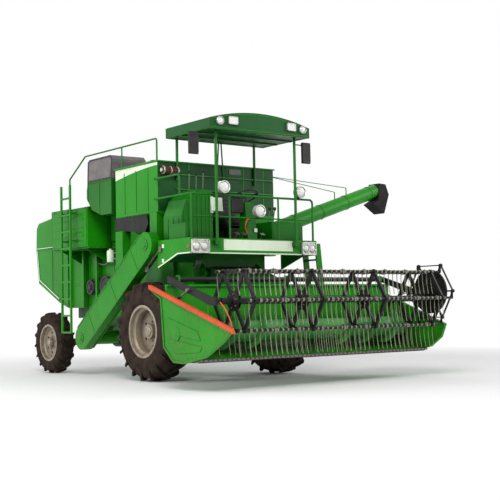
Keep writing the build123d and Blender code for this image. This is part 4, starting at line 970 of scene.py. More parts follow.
for x in (-1.17, 1.05):
    rivets += row((x, -0.1735, 2.66), (x, -0.1735, 3.34), 0.1, (0, -1, 0))
repeat("tank_rivets", "root", "bright", rivetShape(0.008, 0.005), rivets)
tankInside = Maker()
tankInside.rod((-0.02, -0.158, 2.42), (-0.02, 1.088, 2.42), 0.1, 20)
tankInside.rod((-1.188, 0.47, 3.18), (1.068, 0.47, 3.18), 0.02, 12)
tankInside.finish("tank_inside", "root", "steel")
print("tank dressed")


# Body, cabinets and hood: doors, seams, rivets, hinges, handles, tank straps and filler, lamps, white lines
bodyLook = {"side": 0.699, "stand": 0.007, "hood": 0.759, "ribs": (0.36, 1.2, 2.05, 2.9), "belts": (1.58, 2.1),
    "doors": ((2.13, 2.735), (2.765, 3.37)), "slots": (2.4, 2.54, 2.68)}
bodyPanels = Maker()
for y0, y1 in bodyLook["doors"]:
    bodyPanels.block((-1.188, y0, 2.23), (-1.179, y1, 2.85))
    for z in bodyLook["slots"]:
        bodyPanels.block((-1.193, y0 + 0.1, z - 0.012), (-1.187, y1 - 0.1, z + 0.012))
faces = [sorted((side * bodyLook["side"], side * (bodyLook["side"] + bodyLook["stand"]))) for side in (-1, 1)]
for near, far in faces:
    for y in bodyLook["ribs"]:
        bodyPanels.block((near, y - 0.018, 1.0), (far, y + 0.018, 2.96 if y > 1.3 else 2.28))
    for z in bodyLook["belts"]:
        bodyPanels.block((near, -0.36, z - 0.015), (far, 3.59, z + 0.015))
for side in (-1, 1):
    near, far = sorted((side * bodyLook["hood"], side * (bodyLook["hood"] + 0.008)))
    bodyPanels.block((near, 3.602, 2.275), (far, 4.885, 2.305))
    bodyPanels.block((near, 3.602, 1.18), (far, 3.632, 2.96))
    bodyPanels.block((near, 4.22, 1.42), (far, 4.25, 2.85))
    bodyPanels.plate([(near, 3.64, 1.18), (near, 3.955, 1.292), (near, 4.79, 1.67), (near, 4.885, 2.28),
        (near, 4.86, 2.28), (near, 4.77, 1.69), (near, 3.945, 1.315), (near, 3.64, 1.21)], (far - near, 0, 0))
bodyPanels.block((-0.745, 4.858, 2.3), (0.745, 4.888, 2.33))
bodyPanels.finish("body_panels", "root", "bright", ease=0.002)
bodyRivets = []
for side in (-1, 1):
    out, skin, hood = (side, 0, 0), side * 0.7062, side * 0.7672
    for z in bodyLook["belts"]:
        bodyRivets += row((skin, -0.32, z), (skin, 3.55, z), 0.14, out)
    bodyRivets += row((hood, 3.66, 2.29), (hood, 4.86, 2.29), 0.12, out)
    bodyRivets += row((hood, 3.617, 1.25), (hood, 3.617, 2.9), 0.12, out)
for y in (2.145, 2.72, 2.78, 3.355):
    bodyRivets += row((-1.1885, y, 2.26), (-1.1885, y, 2.82), 0.14, (-1, 0, 0))
repeat("body_rivets", "root", "bright", rivetShape(0.009, 0.005), bodyRivets)
handles = Maker()
for y in (2.43, 3.07):
    handles.run([(-1.188, y - 0.06, 2.79), (-1.205, y - 0.05, 2.79), (-1.205, y + 0.05, 2.79),
        (-1.188, y + 0.06, 2.79)], 0.007)
for y in (2.18, 2.68, 2.82, 3.32):
    handles.rod((-1.19, y - 0.035, 2.862), (-1.19, y + 0.035, 2.862), 0.009, 10)
for y in (2.25, 3.05):
    handles.block((0.69, y - 0.02, 2.235), (1.19, y + 0.02, 2.252))
    handles.block((1.176, y - 0.02, 2.24), (1.19, y + 0.02, 2.89))
    handles.block((0.69, y - 0.02, 2.878), (1.19, y + 0.02, 2.892))
handles.rod((0.94, 3.1, 2.87), (0.94, 3.1, 2.915), 0.045, 20)
handles.rod((0.94, 3.1, 2.915), (0.94, 3.1, 2.935), 0.055, 20)
handles.finish("handles_and_straps", "root", "steel", ease=0.001)
rearLamps = Maker()
for x in (-0.62, 0.62):
    rearLamps.block((x - 0.07, 4.876, 2.36), (x + 0.07, 4.896, 2.43))
rearLamps.finish("rear_lamps", "root", "red", ease=0.003)
hoodTrim = Maker()
for side in (-1, 1):
    near, far = sorted((side * 0.766, side * 0.77))
    hoodTrim.plate([(near, 3.96, 1.325), (near, 4.765, 1.7), (near, 4.855, 2.27), (near, 4.835, 2.27),
        (near, 4.748, 1.715), (near, 3.955, 1.348)], (far - near, 0, 0))
    hoodTrim.block((near, 3.64, 2.31), (far, 4.86, 2.322))
hoodTrim.finish("hood_trim", "root", "trim")
print("body dressed")


# Engine in the place that its solid holds: block, head, fan, pulleys and manifold
engineLook = {"y": 1.64, "crankZ": 2.76, "fanZ": 3.02, "right": -0.38, "left": 0.42, "blades": 6, "pipes": 6,
    "firstPipe": -0.3, "pipeStep": 0.125}
crank, fan = (engineLook["y"], engineLook["crankZ"]), (engineLook["y"], engineLook["fanZ"])
engine = Maker()
for low, high in (((-0.38, 1.46, 2.56), (0.42, 1.82, 3.0)), ((-0.34, 1.5, 2.452), (0.38, 1.78, 2.56)),
        ((-0.37, 1.48, 3.0), (0.41, 1.8, 3.09)), ((-0.34, 1.53, 3.09), (0.38, 1.75, 3.15)), ((-0.16, 1.815, 2.9),
        (0.16, 1.9, 2.94)), ((-0.25, 1.36, 2.66), (0.15, 1.465, 2.8)), ((-0.35, 1.44, 2.452), (-0.25, 1.84, 2.5)),
        ((0.25, 1.44, 2.452), (0.35, 1.84, 2.5))):
    engine.block(low, high)
engine.turned((engineLook["left"], *crank), (1, 0, 0), [(0.23, 0), (0.23, 0.05), (0.19, 0.08), (0.06, 0.08),
    (0.06, 0.12), (0, 0.12)], 32)
engine.turned((engineLook["right"], *crank), (-1, 0, 0), [(0.1, 0), (0.1, 0.018), (0.085, 0.026), (0.1, 0.034),
    (0.1, 0.05), (0, 0.05)], 28)
engine.turned((engineLook["right"], *fan), (-1, 0, 0), [(0.075, 0), (0.075, 0.03), (0.06, 0.04), (0.075, 0.05),
    (0.075, 0.065), (0, 0.065)], 24)
for k in range(engineLook["blades"]):
    angle = 2 * math.pi * k / engineLook["blades"]
    out = Vector((0, math.cos(angle), math.sin(angle)))
    across = Vector((0.3, -math.sin(angle), math.cos(angle))).normalized() * 0.045
    root, tip = Vector((-0.462, *fan)) + out * 0.05, Vector((-0.462, *fan)) + out * 0.21
    engine.plate([root - across, tip - across, tip + across, root + across], (0.004, 0, 0))
for k in range(engineLook["pipes"]):
    x = engineLook["firstPipe"] + engineLook["pipeStep"] * k
    engine.run([(x, 1.48, 3.03), (x, 1.4, 3.04), (x + 0.02, 1.36, 3.06)], 0.022, smooth=True, steps=3)
    engine.rod((x, 1.64, 3.15), (x, 1.64, 3.166), 0.02, 10)
engine.rod((-0.34, 1.36, 3.06), (0.38, 1.36, 3.06), 0.035, 16)
for x in (-0.1, 0.1):
    engine.rod((x, 1.86, 2.72), (x, 1.86, 2.92), 0.05, 20)
engine.finish("engine_block", "root", "cast", ease=0.004, replaces=("engine",))
airCleaner = Maker()
airCleaner.turned((-0.18, 1.9, 3.15), (1, 0, 0), [(0.06, -0.03), (0.118, 0.0), (0.118, 0.44), (0.124, 0.45),
    (0.124, 0.47), (0.09, 0.48), (0, 0.485)], 32)
airCleaner.run([(-0.05, 1.86, 3.04), (-0.05, 1.8, 3.1), (-0.05, 1.74, 3.12)], 0.045, smooth=True)
airCleaner.rod((0.02, 1.9, 2.99), (0.02, 1.9, 3.06), 0.03)
airCleaner.block((-0.02, 1.86, 2.92), (0.06, 1.94, 3.03))
airCleaner.finish("air_cleaner", "root", "black", ease=0.002)

# Radiator screen: louvres on its leaning front, a frame on each side, a cowl over the fan
screenLook = {"right": -1.2, "left": -0.56, "foot": 3.27, "front": 1.2395, "lean": 0.04 / 0.33, "louvres": 7,
    "firstLouvre": 3.305, "louvreStep": 0.042, "frame": 0.03, "outline": [(1.24, 3.272), (1.2, 3.6),
    (1.26, 3.66), (1.96, 3.66), (2.02, 3.62), (2.04, 3.272)]}
louvre = Maker()
louvre.plate([(-0.29, -0.012, -0.012), (-0.29, -0.03, -0.016), (-0.29, -0.026, -0.02), (-0.29, -0.004, 0.01)],
    (0.58, 0, 0))
heights = [screenLook["firstLouvre"] + screenLook["louvreStep"] * k for k in range(screenLook["louvres"])]
# The louvres are in the dark screen grey: painted shade on the screen's front, against the lighter grey of its lit
# side
repeat("screen_louvres", "root", "darkScreen", louvre, [((-0.88,
    screenLook["front"] - screenLook["lean"] * (z - screenLook["foot"]), z), (0, 0, 1)) for z in heights])
screenFrame = Maker()
screenFrame.border(screenLook["right"], screenLook["outline"], screenLook["frame"], -0.006)
screenFrame.border(screenLook["left"], screenLook["outline"], screenLook["frame"], 0.006)
screenFrame.finish("screen_frame", "root", "darkScreen", ease=0.0015)
# The cowl is in the green with painted shade
cowl = Maker()
arc = [(-0.34 - 0.22 * math.cos(a), 3.42 + 0.22 * math.sin(a)) for a in (math.pi * k / 16 for k in range(17))]
cowl.plate([(x, 1.25, z) for x, z in [(-0.558, 3.275)] + arc + [(-0.12, 3.275)]], (0, 0.3, 0))
cowl.finish("engine_cowl", "root", "shadedGreen", ease=0.012)

# Air duct: a short funnel on a back plate that covers the body's side
ductLook = {"top": [(1.24, 3.27), (2.04, 3.27), (2.08, 3.15)], "funnel": [(2.08, 3.0), (1.9, 2.8), (1.6, 2.69),
    (1.24, 2.69)], "back": [(2.08, 2.29), (1.7, 2.29), (1.24, 2.7)], "ribs": ((1.25, 2.7), (1.64, 2.71),
    (2.03, 2.96))}
# The duct is in the green with painted shade
duct = Maker()
duct.plate([(-1.2, *point) for point in ductLook["top"] + ductLook["funnel"]], (0.46, 0, 0))
duct.plate([(-0.74, *point) for point in ductLook["top"] + ductLook["back"]], (0.04, 0, 0))
duct.block((-0.7, 1.24, 2.45), (-0.56, 2.04, 3.27))
duct.finish("duct_shell", "root", "shadedGreen", ease=0.008, replaces=("engine_duct",))
ductTrim = Maker()
for y, low in ductLook["ribs"]:
    ductTrim.block((-1.206, y - 0.012, low), (-1.198, y + 0.012, 3.262))
ductTrim.block((-1.207, 1.242, 3.25), (-1.198, 2.04, 3.268))
ductTrim.finish("duct_trim", "root", "shadedGreen", ease=0.002)
print("engine dressed")


# Elevator: lips, joint straps, bearing caps, bolts and the chain's tensioner
elevatorLook = {"foot": (1.99, 0.652), "head": (-0.06, 2.087), "face": -1.385, "lipBacks": (-1.391, -1.222),
    "half": 0.2, "lip": 0.018, "straps": (0.17, 0.52, 0.84), "strapHalf": 0.02, "boltLine": 0.186,
    "tensioner": 0.235, "coils": 84, "coilRadius": 0.022, "coilStep": 0.0022, "coilTurn": 0.9}
foot, head = Vector(elevatorLook["foot"]), Vector(elevatorLook["head"])
along = (head - foot).normalized()
across = Vector((-along.y, along.x))
elevator, half = Maker(), elevatorLook["half"]
for hand in (-1, 1):
    for x in elevatorLook["lipBacks"]:
        inner, outer = across * hand * half, across * hand * (half + elevatorLook["lip"])
        elevator.plate([(x, *p) for p in (foot + inner, head + inner, head + outer, foot + outer)], (0.012, 0, 0))
for share in elevatorLook["straps"]:
    middle, reach = foot.lerp(head, share), along * elevatorLook["strapHalf"]
    elevator.plate([(-1.391, *p) for p in (middle - reach - across * half, middle + reach - across * half,
        middle + reach + across * half, middle - reach + across * half)], (0.008, 0, 0))
for end in (foot, head):
    elevator.turned((elevatorLook["face"], *end), (-1, 0, 0), [(0.088, 0), (0.088, 0.008), (0.05, 0.012),
        (0.042, 0.026), (0, 0.028)], 28)
elevator.finish("elevator_lips", "root", "bright", ease=0.002)
bolts = []
for hand in (-1, 1):
    shift = across * hand * elevatorLook["boltLine"]
    bolts += row((-1.3855, *(foot + shift)), (-1.3855, *(head + shift)), 0.2, (-1, 0, 0))
for end in (foot, head):
    bolts += circle((-1.393, *end), (-1, 0, 0), 0.07, 4)
repeat("elevator_bolts", "root", "steel", boltShape(0.016, 0.008), bolts)
tensioner, line = Maker(), across * elevatorLook["tensioner"]
start, end = head - along * 0.3 + line, head + along * 0.26 + line
tensioner.run([(-1.3, *start), (-1.3, *end)], 0.009)
for place in (start + along * 0.03, end - along * 0.03):
    tensioner.block((-1.32, place.x - 0.03, place.y - 0.06), (-1.28, place.x + 0.02, place.y + 0.02))
coils = []
for k in range(elevatorLook["coils"]):
    turn = elevatorLook["coilTurn"] * k
    place = (start + along * (0.12 + elevatorLook["coilStep"] * k)
             + across * elevatorLook["coilRadius"] * math.sin(turn))
    coils.append((-1.3 + elevatorLook["coilRadius"] * math.cos(turn), *place))
tensioner.run(coils, 0.0035, sides=5)
tensioner.finish("elevator_tensioner", "root", "steel")

# Oil cup on two brackets, with rigid oil pipes along the body's side
oilCup = Maker()
oilCup.turned((-0.8, 1.99, 1.93), (0, 0, 1), [(0.055, 0), (0.062, 0.012), (0.062, 0.185), (0.05, 0.2),
    (0.025, 0.203), (0.025, 0.225), (0, 0.228)], 24)
for z in (1.98, 2.08):
    oilCup.block((-0.8, 1.945, z), (-0.698, 2.035, z + 0.015))
oilCup.finish("oil_cup", "root", "trim", ease=0.001)
oilPipe = Maker()
oilPipe.run([(-0.7, 2.62, 2.15), (-0.74, 2.62, 2.13), (-0.76, 2.58, 2.02), (-0.76, 2.45, 1.93), (-0.76, 2.28, 1.9),
    (-0.78, 2.12, 1.915), (-0.8, 2.03, 1.95)], 0.014, smooth=True)
oilPipe.run([(-0.7, 1.25, 2.22), (-0.74, 1.25, 2.2), (-0.75, 1.4, 2.17), (-0.75, 1.85, 2.17), (-0.75, 1.97, 2.19),
    (-0.7, 2.02, 2.19)], 0.011, smooth=True)
oilPipe.finish("oil_pipe", "root", "steel")

# Right side behind the ladder: a dark cooling grille that stands partly for painted shade on the body's side, with
# its frame, posts, brackets and a box under the cabinets
sideLook = {"shadeGrille": ((1.33, 1.42), (1.9, 1.88)), "frame": 0.03, "posts": (2.5, 2.98), "brackets": (2.3, 3.2)}
(y0, z0), (y1, z1) = sideLook["shadeGrille"]
shadeGrille, sideFrame, edge = Maker(), Maker(), sideLook["frame"]
shadeGrille.block((-0.712, y0, z0), (-0.699, y1, z1))
for low, high in (((y0 - edge, z0 - edge), (y1 + edge, z0)), ((y0 - edge, z1), (y1 + edge, z1 + edge)),
        ((y0 - edge, z0), (y0, z1)), ((y1, z0), (y1 + edge, z1))):
    sideFrame.block((-0.722, *low), (-0.699, *high))
for y in sideLook["posts"]:
    sideFrame.block((-0.8, y - 0.03, 1.165), (-0.699, y + 0.03, 1.175))
    sideFrame.block((-0.8, y - 0.03, 1.165), (-0.79, y + 0.03, 2.202))
    sideFrame.block((-0.8, y - 0.03, 1.165), (-0.699, y - 0.02, 2.202))
sideFrame.block((-1.15, 2.105, 2.175), (-0.699, 3.395, 2.201))
for y in sideLook["brackets"]:
    sideFrame.plate([(-0.7, y - 0.008, 1.95), (-0.7, y - 0.008, 2.178), (-1.12, y - 0.008, 2.178)], (0, 0.016, 0))
sideFrame.plate([(-0.7, 0.1, 1.46), (-0.76, 0.1, 1.46), (-0.76, 0.1, 2.28), (-0.7, 0.1, 2.28)], (0, 0.35, 0))
shadeGrille.finish("side_grille", "root", "darkScreen")
sideFrame.finish("side_frame", "root", "bright", ease=0.003)


# A belt around two pulleys that turn about x
def beltLoop(maker, x, first, firstRadius, second, secondRadius, width, thickness):
    first, second = Vector(first), Vector(second)
    span = second - first
    heading = math.atan2(span.y, span.x)
    spread = math.acos((firstRadius - secondRadius) / span.length)
    outline = []
    for centre, radius, start, end in ((first, firstRadius, heading + spread, heading + 2 * math.pi - spread),
            (second, secondRadius, heading - spread, heading + spread)):
        outline += [(centre, radius, start + (end - start) * k / 16) for k in range(17)]
    near, far = x - width / 2, x + width / 2
    rings = [[maker.mesh.verts.new((at, c.x + (r + extra) * math.cos(a), c.y + (r + extra) * math.sin(a))) for c, r,
        a in outline] for extra, at in ((0, near), (thickness, near), (thickness, far), (0, far))]
    for one, two in zip(rings, rings[1:] + rings[:1]):
        maker.join(one, two)


# Pulleys on the right side, with a belt between the first two
sideDriveLook = {"pulleys": ((2.23, 1.52, 0.17, -0.76), (2.76, 1.52, 0.12, -0.76),
    (0.65, 1.06, 0.15, -0.74)), "belt": (0.022, 0.01)}
sidePulleys, sideBelt = Maker(), Maker()
for y, z, radius, x in sideDriveLook["pulleys"]:
    rimOut, rimIn = radius + 0.01, radius - 0.02
    sidePulleys.turned((x, y, z), (-1, 0, 0), [(rimOut, -0.022), (rimOut, -0.016), (radius, -0.012),
        (radius, 0.012), (rimOut, 0.016), (rimOut, 0.022), (rimIn, 0.022), (rimIn - 0.01, 0.006), (0.05, 0.004),
        (0.045, 0.04), (0, 0.04)], 36)
    sidePulleys.rod((-0.69, y, z), (x, y, z), 0.03, 16)
sidePulleys.finish("side_pulleys", "root", "cast", ease=0.001)
(firstY, firstZ, firstRadius, x), (secondY, secondZ, secondRadius, x) = sideDriveLook["pulleys"][:2]
beltLoop(sideBelt, x, (firstY, firstZ), firstRadius, (secondY, secondZ), secondRadius, *sideDriveLook["belt"])
sideBelt.finish("side_belt", "root", "rubber", smooth=50)
print("elevator dressed")


# Drives on the left side: three pulleys, each with a belt to the main shaft
driveLook = {"shaft": (1.15, 1.9), "wheels": (((0.26, 1.56), 0.23, 0.15, 0.795), ((2.25, 1.75), 0.2,
    0.12, 0.831), ((0.65, 1.06), 0.075, 0.1, 0.867)), "width": 0.028, "beltThickness": 0.012}
belts, pulleys = Maker(), Maker()


def pulley(y, z, x, radius, width):
    pulleys.turned((x - width / 2 - 0.006, y, z), (1, 0, 0), [(radius + 0.012, 0), (radius + 0.012, 0.005),
        (radius - 0.001, 0.007), (radius - 0.001, width + 0.005), (radius + 0.012, width + 0.007),
        (radius + 0.012, width + 0.012), (radius - 0.02, width + 0.012), (radius - 0.025, width), (0.045, width),
        (0.045, width + 0.03), (0, width + 0.03)], 40)


shaft, width = driveLook["shaft"], driveLook["width"]
for (y, z), radius, shaftRadius, x in driveLook["wheels"]:
    beltLoop(belts, x, (y, z), radius, shaft, shaftRadius, width, driveLook["beltThickness"])
    pulley(y, z, x, radius, width)
    pulley(*shaft, x, shaftRadius, width)
    pulleys.rod((0.69, y, z), (x, y, z), 0.03, 16)
pulleys.rod((0.69, *shaft), (0.89, *shaft), 0.032, 16)
belts.finish("drive_belts", "root", "rubber", smooth=50)
pulleys.finish("drive_pulleys", "root", "cast", ease=0.0015)
print("drives dressed")


# Driver's seat: padded cushion and back with sewn channels and piping, on a sprung base
seatLook = {"cushion": ((0.0, -0.42, 2.452), (0.47, 0.43, 0.096), 0.0, 0.022), "back": ((0.0, -0.218, 2.735),
    (0.45, 0.44, 0.07), math.radians(83), 0.02), "channels": (-0.36, 0.0, 0.36), "channelDepth": 0.01,
    "channelWidth": 0.035, "cuts": 27, "shrink": 0.965, "fill": 0.85, "piping": 0.005, "pipingSteps": 48}


# How far a direction lies from the middle of a square with rounded corners
def roundSquare(u, v):
    return (abs(u) ** 5 + abs(v) ** 5) ** 0.2


def makePad(name, place, size, tilt, crown, look):
    work = bmesh.new()
    bmesh.ops.create_cube(work, size=2.0)
    bmesh.ops.subdivide_edges(work, edges=work.edges, cuts=look["cuts"], use_grid_fill=True)
    half = Vector(size) / 2
    for vert in work.verts:
        u, v, w = vert.co
        plan = roundSquare(u, v)
        reach = max(abs(u), abs(v))
        if plan > 0:
            u, v = u / plan * reach, v / plan * reach
        pull = 1 - 0.05 * abs(w) ** 6
        waist = 1 + 0.03 * (1 - w * w) * (1 - (abs(u) * abs(v)) ** 2)
        x, y = (part * half[axis] * pull * waist * look["shrink"] for axis, part in enumerate((u, v)))
        z = w * half.z
        if w > 0:
            z += crown * (1 - abs(u) ** 2.4) * (1 - abs(v) ** 2.4) * w
            for channel in look["channels"]:
                fall = math.exp(-((v - channel) / look["channelWidth"]) ** 2)
                z -= look["channelDepth"] * fall * (1 - abs(u) ** 6) * w
        vert.co = (x, y, z)
    turn = Matrix.Translation(place) @ Matrix.Rotation(tilt, 4, "X")
    work.transform(turn)
    bmesh.ops.recalc_face_normals(work, faces=work.faces)
    mesh = bpy.data.meshes.new(name)
    work.to_mesh(mesh)
    work.free()
    mesh.materials.append(mats["seat"])
    pad = bpy.data.objects.new(name, mesh)
    bpy.context.scene.collection.objects.link(pad)
    settle(pad, "root", smooth=75)
    seam, edgePoints = Maker(), []
    for k in range(look["pipingSteps"]):
        angle = 2 * math.pi * k / look["pipingSteps"]
        u, v = math.cos(angle), math.sin(angle)
        plan = roundSquare(u, v)
        edgePoints.append(turn @ Vector((u / plan * half.x * 0.945, v / plan * half.y * 0.945, half.z * 0.93)))
    seam.run(edgePoints, look["piping"], sides=6, closed=True)
    seam.finish(name + "_piping", "root", "seat", smooth=75)


makePad("seat_cushion", *seatLook["cushion"], seatLook)
makePad("seat_back", *seatLook["back"], seatLook)
seatBase = Maker()
seatBase.block((-0.225, -0.62, 2.385), (0.225, -0.215, 2.403))
seatBase.block((-0.205, -0.183, 2.5), (0.205, -0.177, 2.93))
for x in (-0.215, 0.195):
    seatBase.block((x, -0.235, 2.385), (x + 0.02, -0.18, 2.62))
    seatBase.block((x, -0.6, 2.355), (x + 0.02, -0.24, 2.386))
for k in range(6):
    size, low = 0.157 if k % 2 else 0.145, 2.16 + 0.032 * k
    seatBase.block((-size, -0.42 - size, low), (size, -0.42 + size, low + 0.033))
seatBase.block((-0.165, -0.585, 2.119), (0.165, -0.255, 2.162))
for side in (-1, 1):
    seatBase.run([(side * 0.232, -0.2, 2.6), (side * 0.262, -0.215, 2.665), (side * 0.262, -0.5, 2.668),
        (side * 0.262, -0.53, 2.66)], 0.016, smooth=True)
seatBase.finish("seat_base", "root", "plastic", "seat_cover", ease=0.004, replaces=("seat",))
print("seat dressed")


# Console and pedestal: levers with knobs, pedals, gauge box with dials, sheet of paper under a clip
consoleLook = {"levers": ((-0.7, -0.66, 0.3), (-0.76, -0.56, 0.26), (-0.82, -0.46, 0.3)), "leverFoot": 2.89,
    "shortLevers": (0.56, 0.66), "pedals": (-0.3, -0.17, 0.19), "dials": ((-0.275, 2.735), (-0.165, 2.735),
    (-0.22, 2.635)), "knob": [(0.01, -0.02), (0.022, 0.0), (0.026, 0.018), (0.018, 0.036), (0, 0.042)]}
console, knobs, dialFaces = Maker(), Maker(), Maker()
foot = consoleLook["leverFoot"]
for x, y, reach in consoleLook["levers"]:
    console.rod((x, y, foot), (x - 0.02, y - 0.05, foot + reach), 0.007, 8)
    console.block((x - 0.015, y - 0.07, foot + 0.008), (x + 0.015, y + 0.05, foot + 0.016))
    knobs.turned((x - 0.02, y - 0.05, foot + reach), (0, 0, 1), consoleLook["knob"], 16)
for x in consoleLook["shortLevers"]:
    console.rod((x, -0.66, 2.435), (x, -0.72, 2.66), 0.008, 8)
    knobs.turned((x, -0.72, 2.66), (0, 0, 1), consoleLook["knob"], 16)
for x in consoleLook["pedals"]:
    console.rod((x, -0.9, 2.118), (x, -0.98, 2.235), 0.009, 8)
    console.block((x - 0.038, -1.015, 2.225), (x + 0.038, -0.955, 2.238), Matrix.Rotation(math.radians(35), 3, "X"))
console.finish("levers", "root", "steel", ease=0.001)
gauge = Maker()
gauge.block((-0.34, -0.905, 2.56), (-0.1, -0.82, 2.8))
gauge.block((-0.3, -0.93, 2.79), (-0.14, -0.82, 2.812))
gauge.rod((-0.16, -0.86, 2.6), (-0.085, -0.86, 2.58), 0.016, 10)
gauge.finish("gauge_box", "root", "plastic", ease=0.008)
for x, z in consoleLook["dials"]:
    dialFaces.turned((x, -0.818, z), (0, 1, 0), [(0.042, -0.004), (0.042, 0.004), (0.036, 0.005), (0, 0.005)], 24)
dialFaces.finish("dials", "root", "lamp")
knobs.finish("lever_knobs", "root", "plastic", smooth=60)
paper = Maker()
paper.block((-0.655, -0.812, 2.58), (-0.44, -0.806, 2.79), Matrix.Rotation(math.radians(-6), 3, "X"))
paper.block((-0.66, -0.806, 2.55), (-0.61, -0.79, 2.8))
paper.finish("paper_board", "root", "trim", ease=0.001)

# Cabinet beside the driver: ribs that follow its sloping top, side ribs, tool box and the left box's lids
cabinetLook = {"ribs": (-1.14, -1.06, -0.98, -0.9, -0.82, -0.74, -0.68), "sideRibs": (-0.72, -0.58, -0.44),
    "slopeStart": -1.2, "slopeEnd": -1.04, "low": 2.48, "slope": 1.5, "top": 2.8}
cabinet = Maker()
for x in cabinetLook["ribs"]:
    sloped = cabinetLook["low"] + (x - cabinetLook["slopeStart"]) * cabinetLook["slope"]
    top = sloped if x < cabinetLook["slopeEnd"] else cabinetLook["top"]
    cabinet.block((x - 0.012, -0.808, 2.16), (x + 0.012, -0.799, top))
for y in cabinetLook["sideRibs"]:
    cabinet.block((-1.207, y - 0.012, 2.16), (-1.198, y + 0.012, 2.46))
for low, high in (((-1.262, -1.0, 2.119), (-1.205, -0.56, 2.35)), ((-1.266, -1.005, 2.345),
        (-1.203, -0.555, 2.368)), ((0.47, -0.906, 2.17), (1.06, -0.899, 2.4)), ((0.5, -0.86, 2.435),
        (1.04, -0.36, 2.452))):
    cabinet.block(low, high)
# The ribs are in the green with painted shade
cabinet.finish("cabinet_ribs", "root", "shadedGreen", "bright_green", ease=0.003)
parkingLever = Maker()
parkingLever.run([(-0.11, -0.985, 2.235), (-0.15, -1.0, 2.34), (-0.12, -1.0, 2.44), (-0.05, -0.985, 2.47)], 0.011,
    smooth=True)
parkingLever.finish("parking_lever", "root", "orange")
pedestalPlate = Maker()
pedestalPlate.block((0.03, -0.993, 2.26), (0.085, -0.985, 2.32))
pedestalPlate.finish("pedestal_plate", "root", "trim", ease=0.001)

# Tread bars on the deck in staggered rows, clear of the steering column
deckLook = {"columns": 19, "rows": 5, "first": (-1.16, -1.07), "step": (0.12, 0.06), "height": 2.1203, "clear": 0.12}
treads = []
for column in range(deckLook["columns"]):
    for line in range(deckLook["rows"]):
        x = deckLook["first"][0] + deckLook["step"][0] * (column + 0.5 * (line % 2))
        if abs(x) > deckLook["clear"]:
            treads.append(((x, deckLook["first"][1] + deckLook["step"][1] * line, deckLook["height"]), (0, 0, 1)))
tread = Maker()
tread.plate([(-0.018, -0.004, -0.001), (0.018, -0.004, -0.001), (0.018, 0.004, -0.001), (-0.018, 0.004, -0.001)],
    (0, 0, 0.003))
repeat("deck_treads", "root", "steel", tread, treads)

# Oil drum under the deck, on two hangers, with its filter and three rigid pipes
drum = Maker()
drum.rod((-1.15, -0.42, 1.93), (-0.74, -0.42, 1.93), 0.12, 28)
drum.turned((-1.15, -0.42, 1.93), (-1, 0, 0), [(0.12, -0.002), (0.112, 0.012), (0, 0.022)], 28)
for x in (-1.06, -0.84):
    drum.block((x - 0.015, -0.45, 1.93), (x + 0.015, -0.39, 2.082))
drum.block((-0.72, -0.5, 1.86), (-0.6, -0.39, 2.0))
# The drum is in the green with deep painted shade
drum.finish("oil_drum", "root", "deepShadedGreen", ease=0.002)
drumPipes = Maker()
for k in range(3):
    x = -0.7 + 0.035 * k
    drumPipes.run([(x, -0.47, 1.865), (x, -0.47, 1.8), (x, -0.42, 1.74), (x, -0.37, 1.72)], 0.009, smooth=True)
drumPipes.finish("oil_lines", "root", "steel")
print("console dressed")


# Canopy: ribs below the roof, bead along its edges, a pale frame on the fascia, rivets on the arch
canopyLook = {"middle": -0.109, "half": 0.96, "rise": 0.14, "crown": 4.028, "rivetRows": (-1.3, -0.8, -0.3)}
canopyRibs = Maker()
for low, high in (((-1.066, -1.38, 3.732), (-1.03, -0.218, 3.741)), ((0.812, -1.38, 3.732), (0.848, -0.218, 3.741)),
        ((-1.066, -1.383, 3.73), (0.848, -1.345, 3.741)), ((-1.066, -0.255, 3.73), (0.848, -0.217, 3.741)),
        ((-1.03, -1.0, 3.718), (0.812, -0.96, 3.74)), ((-1.03, -0.62, 3.718), (0.812, -0.58, 3.74))):
    canopyRibs.block(low, high)
# Ribs, bead and roof rivets are in the green with painted shade
canopyRibs.finish("canopy_ribs", "root", "shadedGreen", ease=0.002)


# A spot on the roof's arch, from its right end at 0 to its left end at 1
def archPoint(share, drop=0.0):
    half, rise = canopyLook["half"], canopyLook["rise"]
    radius = (half ** 2 + rise ** 2) / (2 * rise)
    angle = math.asin(half / radius) * (2 * share - 1)
    return (canopyLook["middle"] + (radius - drop) * math.sin(angle),
        canopyLook["crown"] - radius + (radius - drop) * math.cos(angle))


bead = Maker()
for y in (-1.3835, -0.2165):
    bead.run([(x, y, z) for x, z in (archPoint(k / 24, 0.007) for k in range(25))], 0.0055, sides=8)
for x in (-1.064, 0.846):
    bead.rod((x, -1.38, 3.884), (x, -0.22, 3.884), 0.005, 8)
bead.finish("canopy_bead", "root", "shadedGreen")
fasciaFrame = Maker()
upper, lower = ([archPoint(0.035 + 0.93 * k / 24, drop) for k in range(25)] for drop in (0.022, 0.03))
for cell in zip(upper, upper[1:], lower[1:], lower):
    fasciaFrame.plate([(x, -1.388, z) for x, z in cell], (0, 0.005, 0))
fasciaFrame.block((-1.03, -1.388, 3.752), (0.812, -1.383, 3.76))
fasciaFrame.finish("fascia_frame", "root", "bright")
roofRivets = []
for y in canopyLook["rivetRows"]:
    for k in range(13):
        x, z = archPoint(0.04 + 0.92 * k / 12)
        roofRivets.append(((x, y, z - 0.0065), (0, 0, 1), 0.9))
repeat("roof_rivets", "root", "shadedGreen", rivetShape(0.008, 0.005), roofRivets)

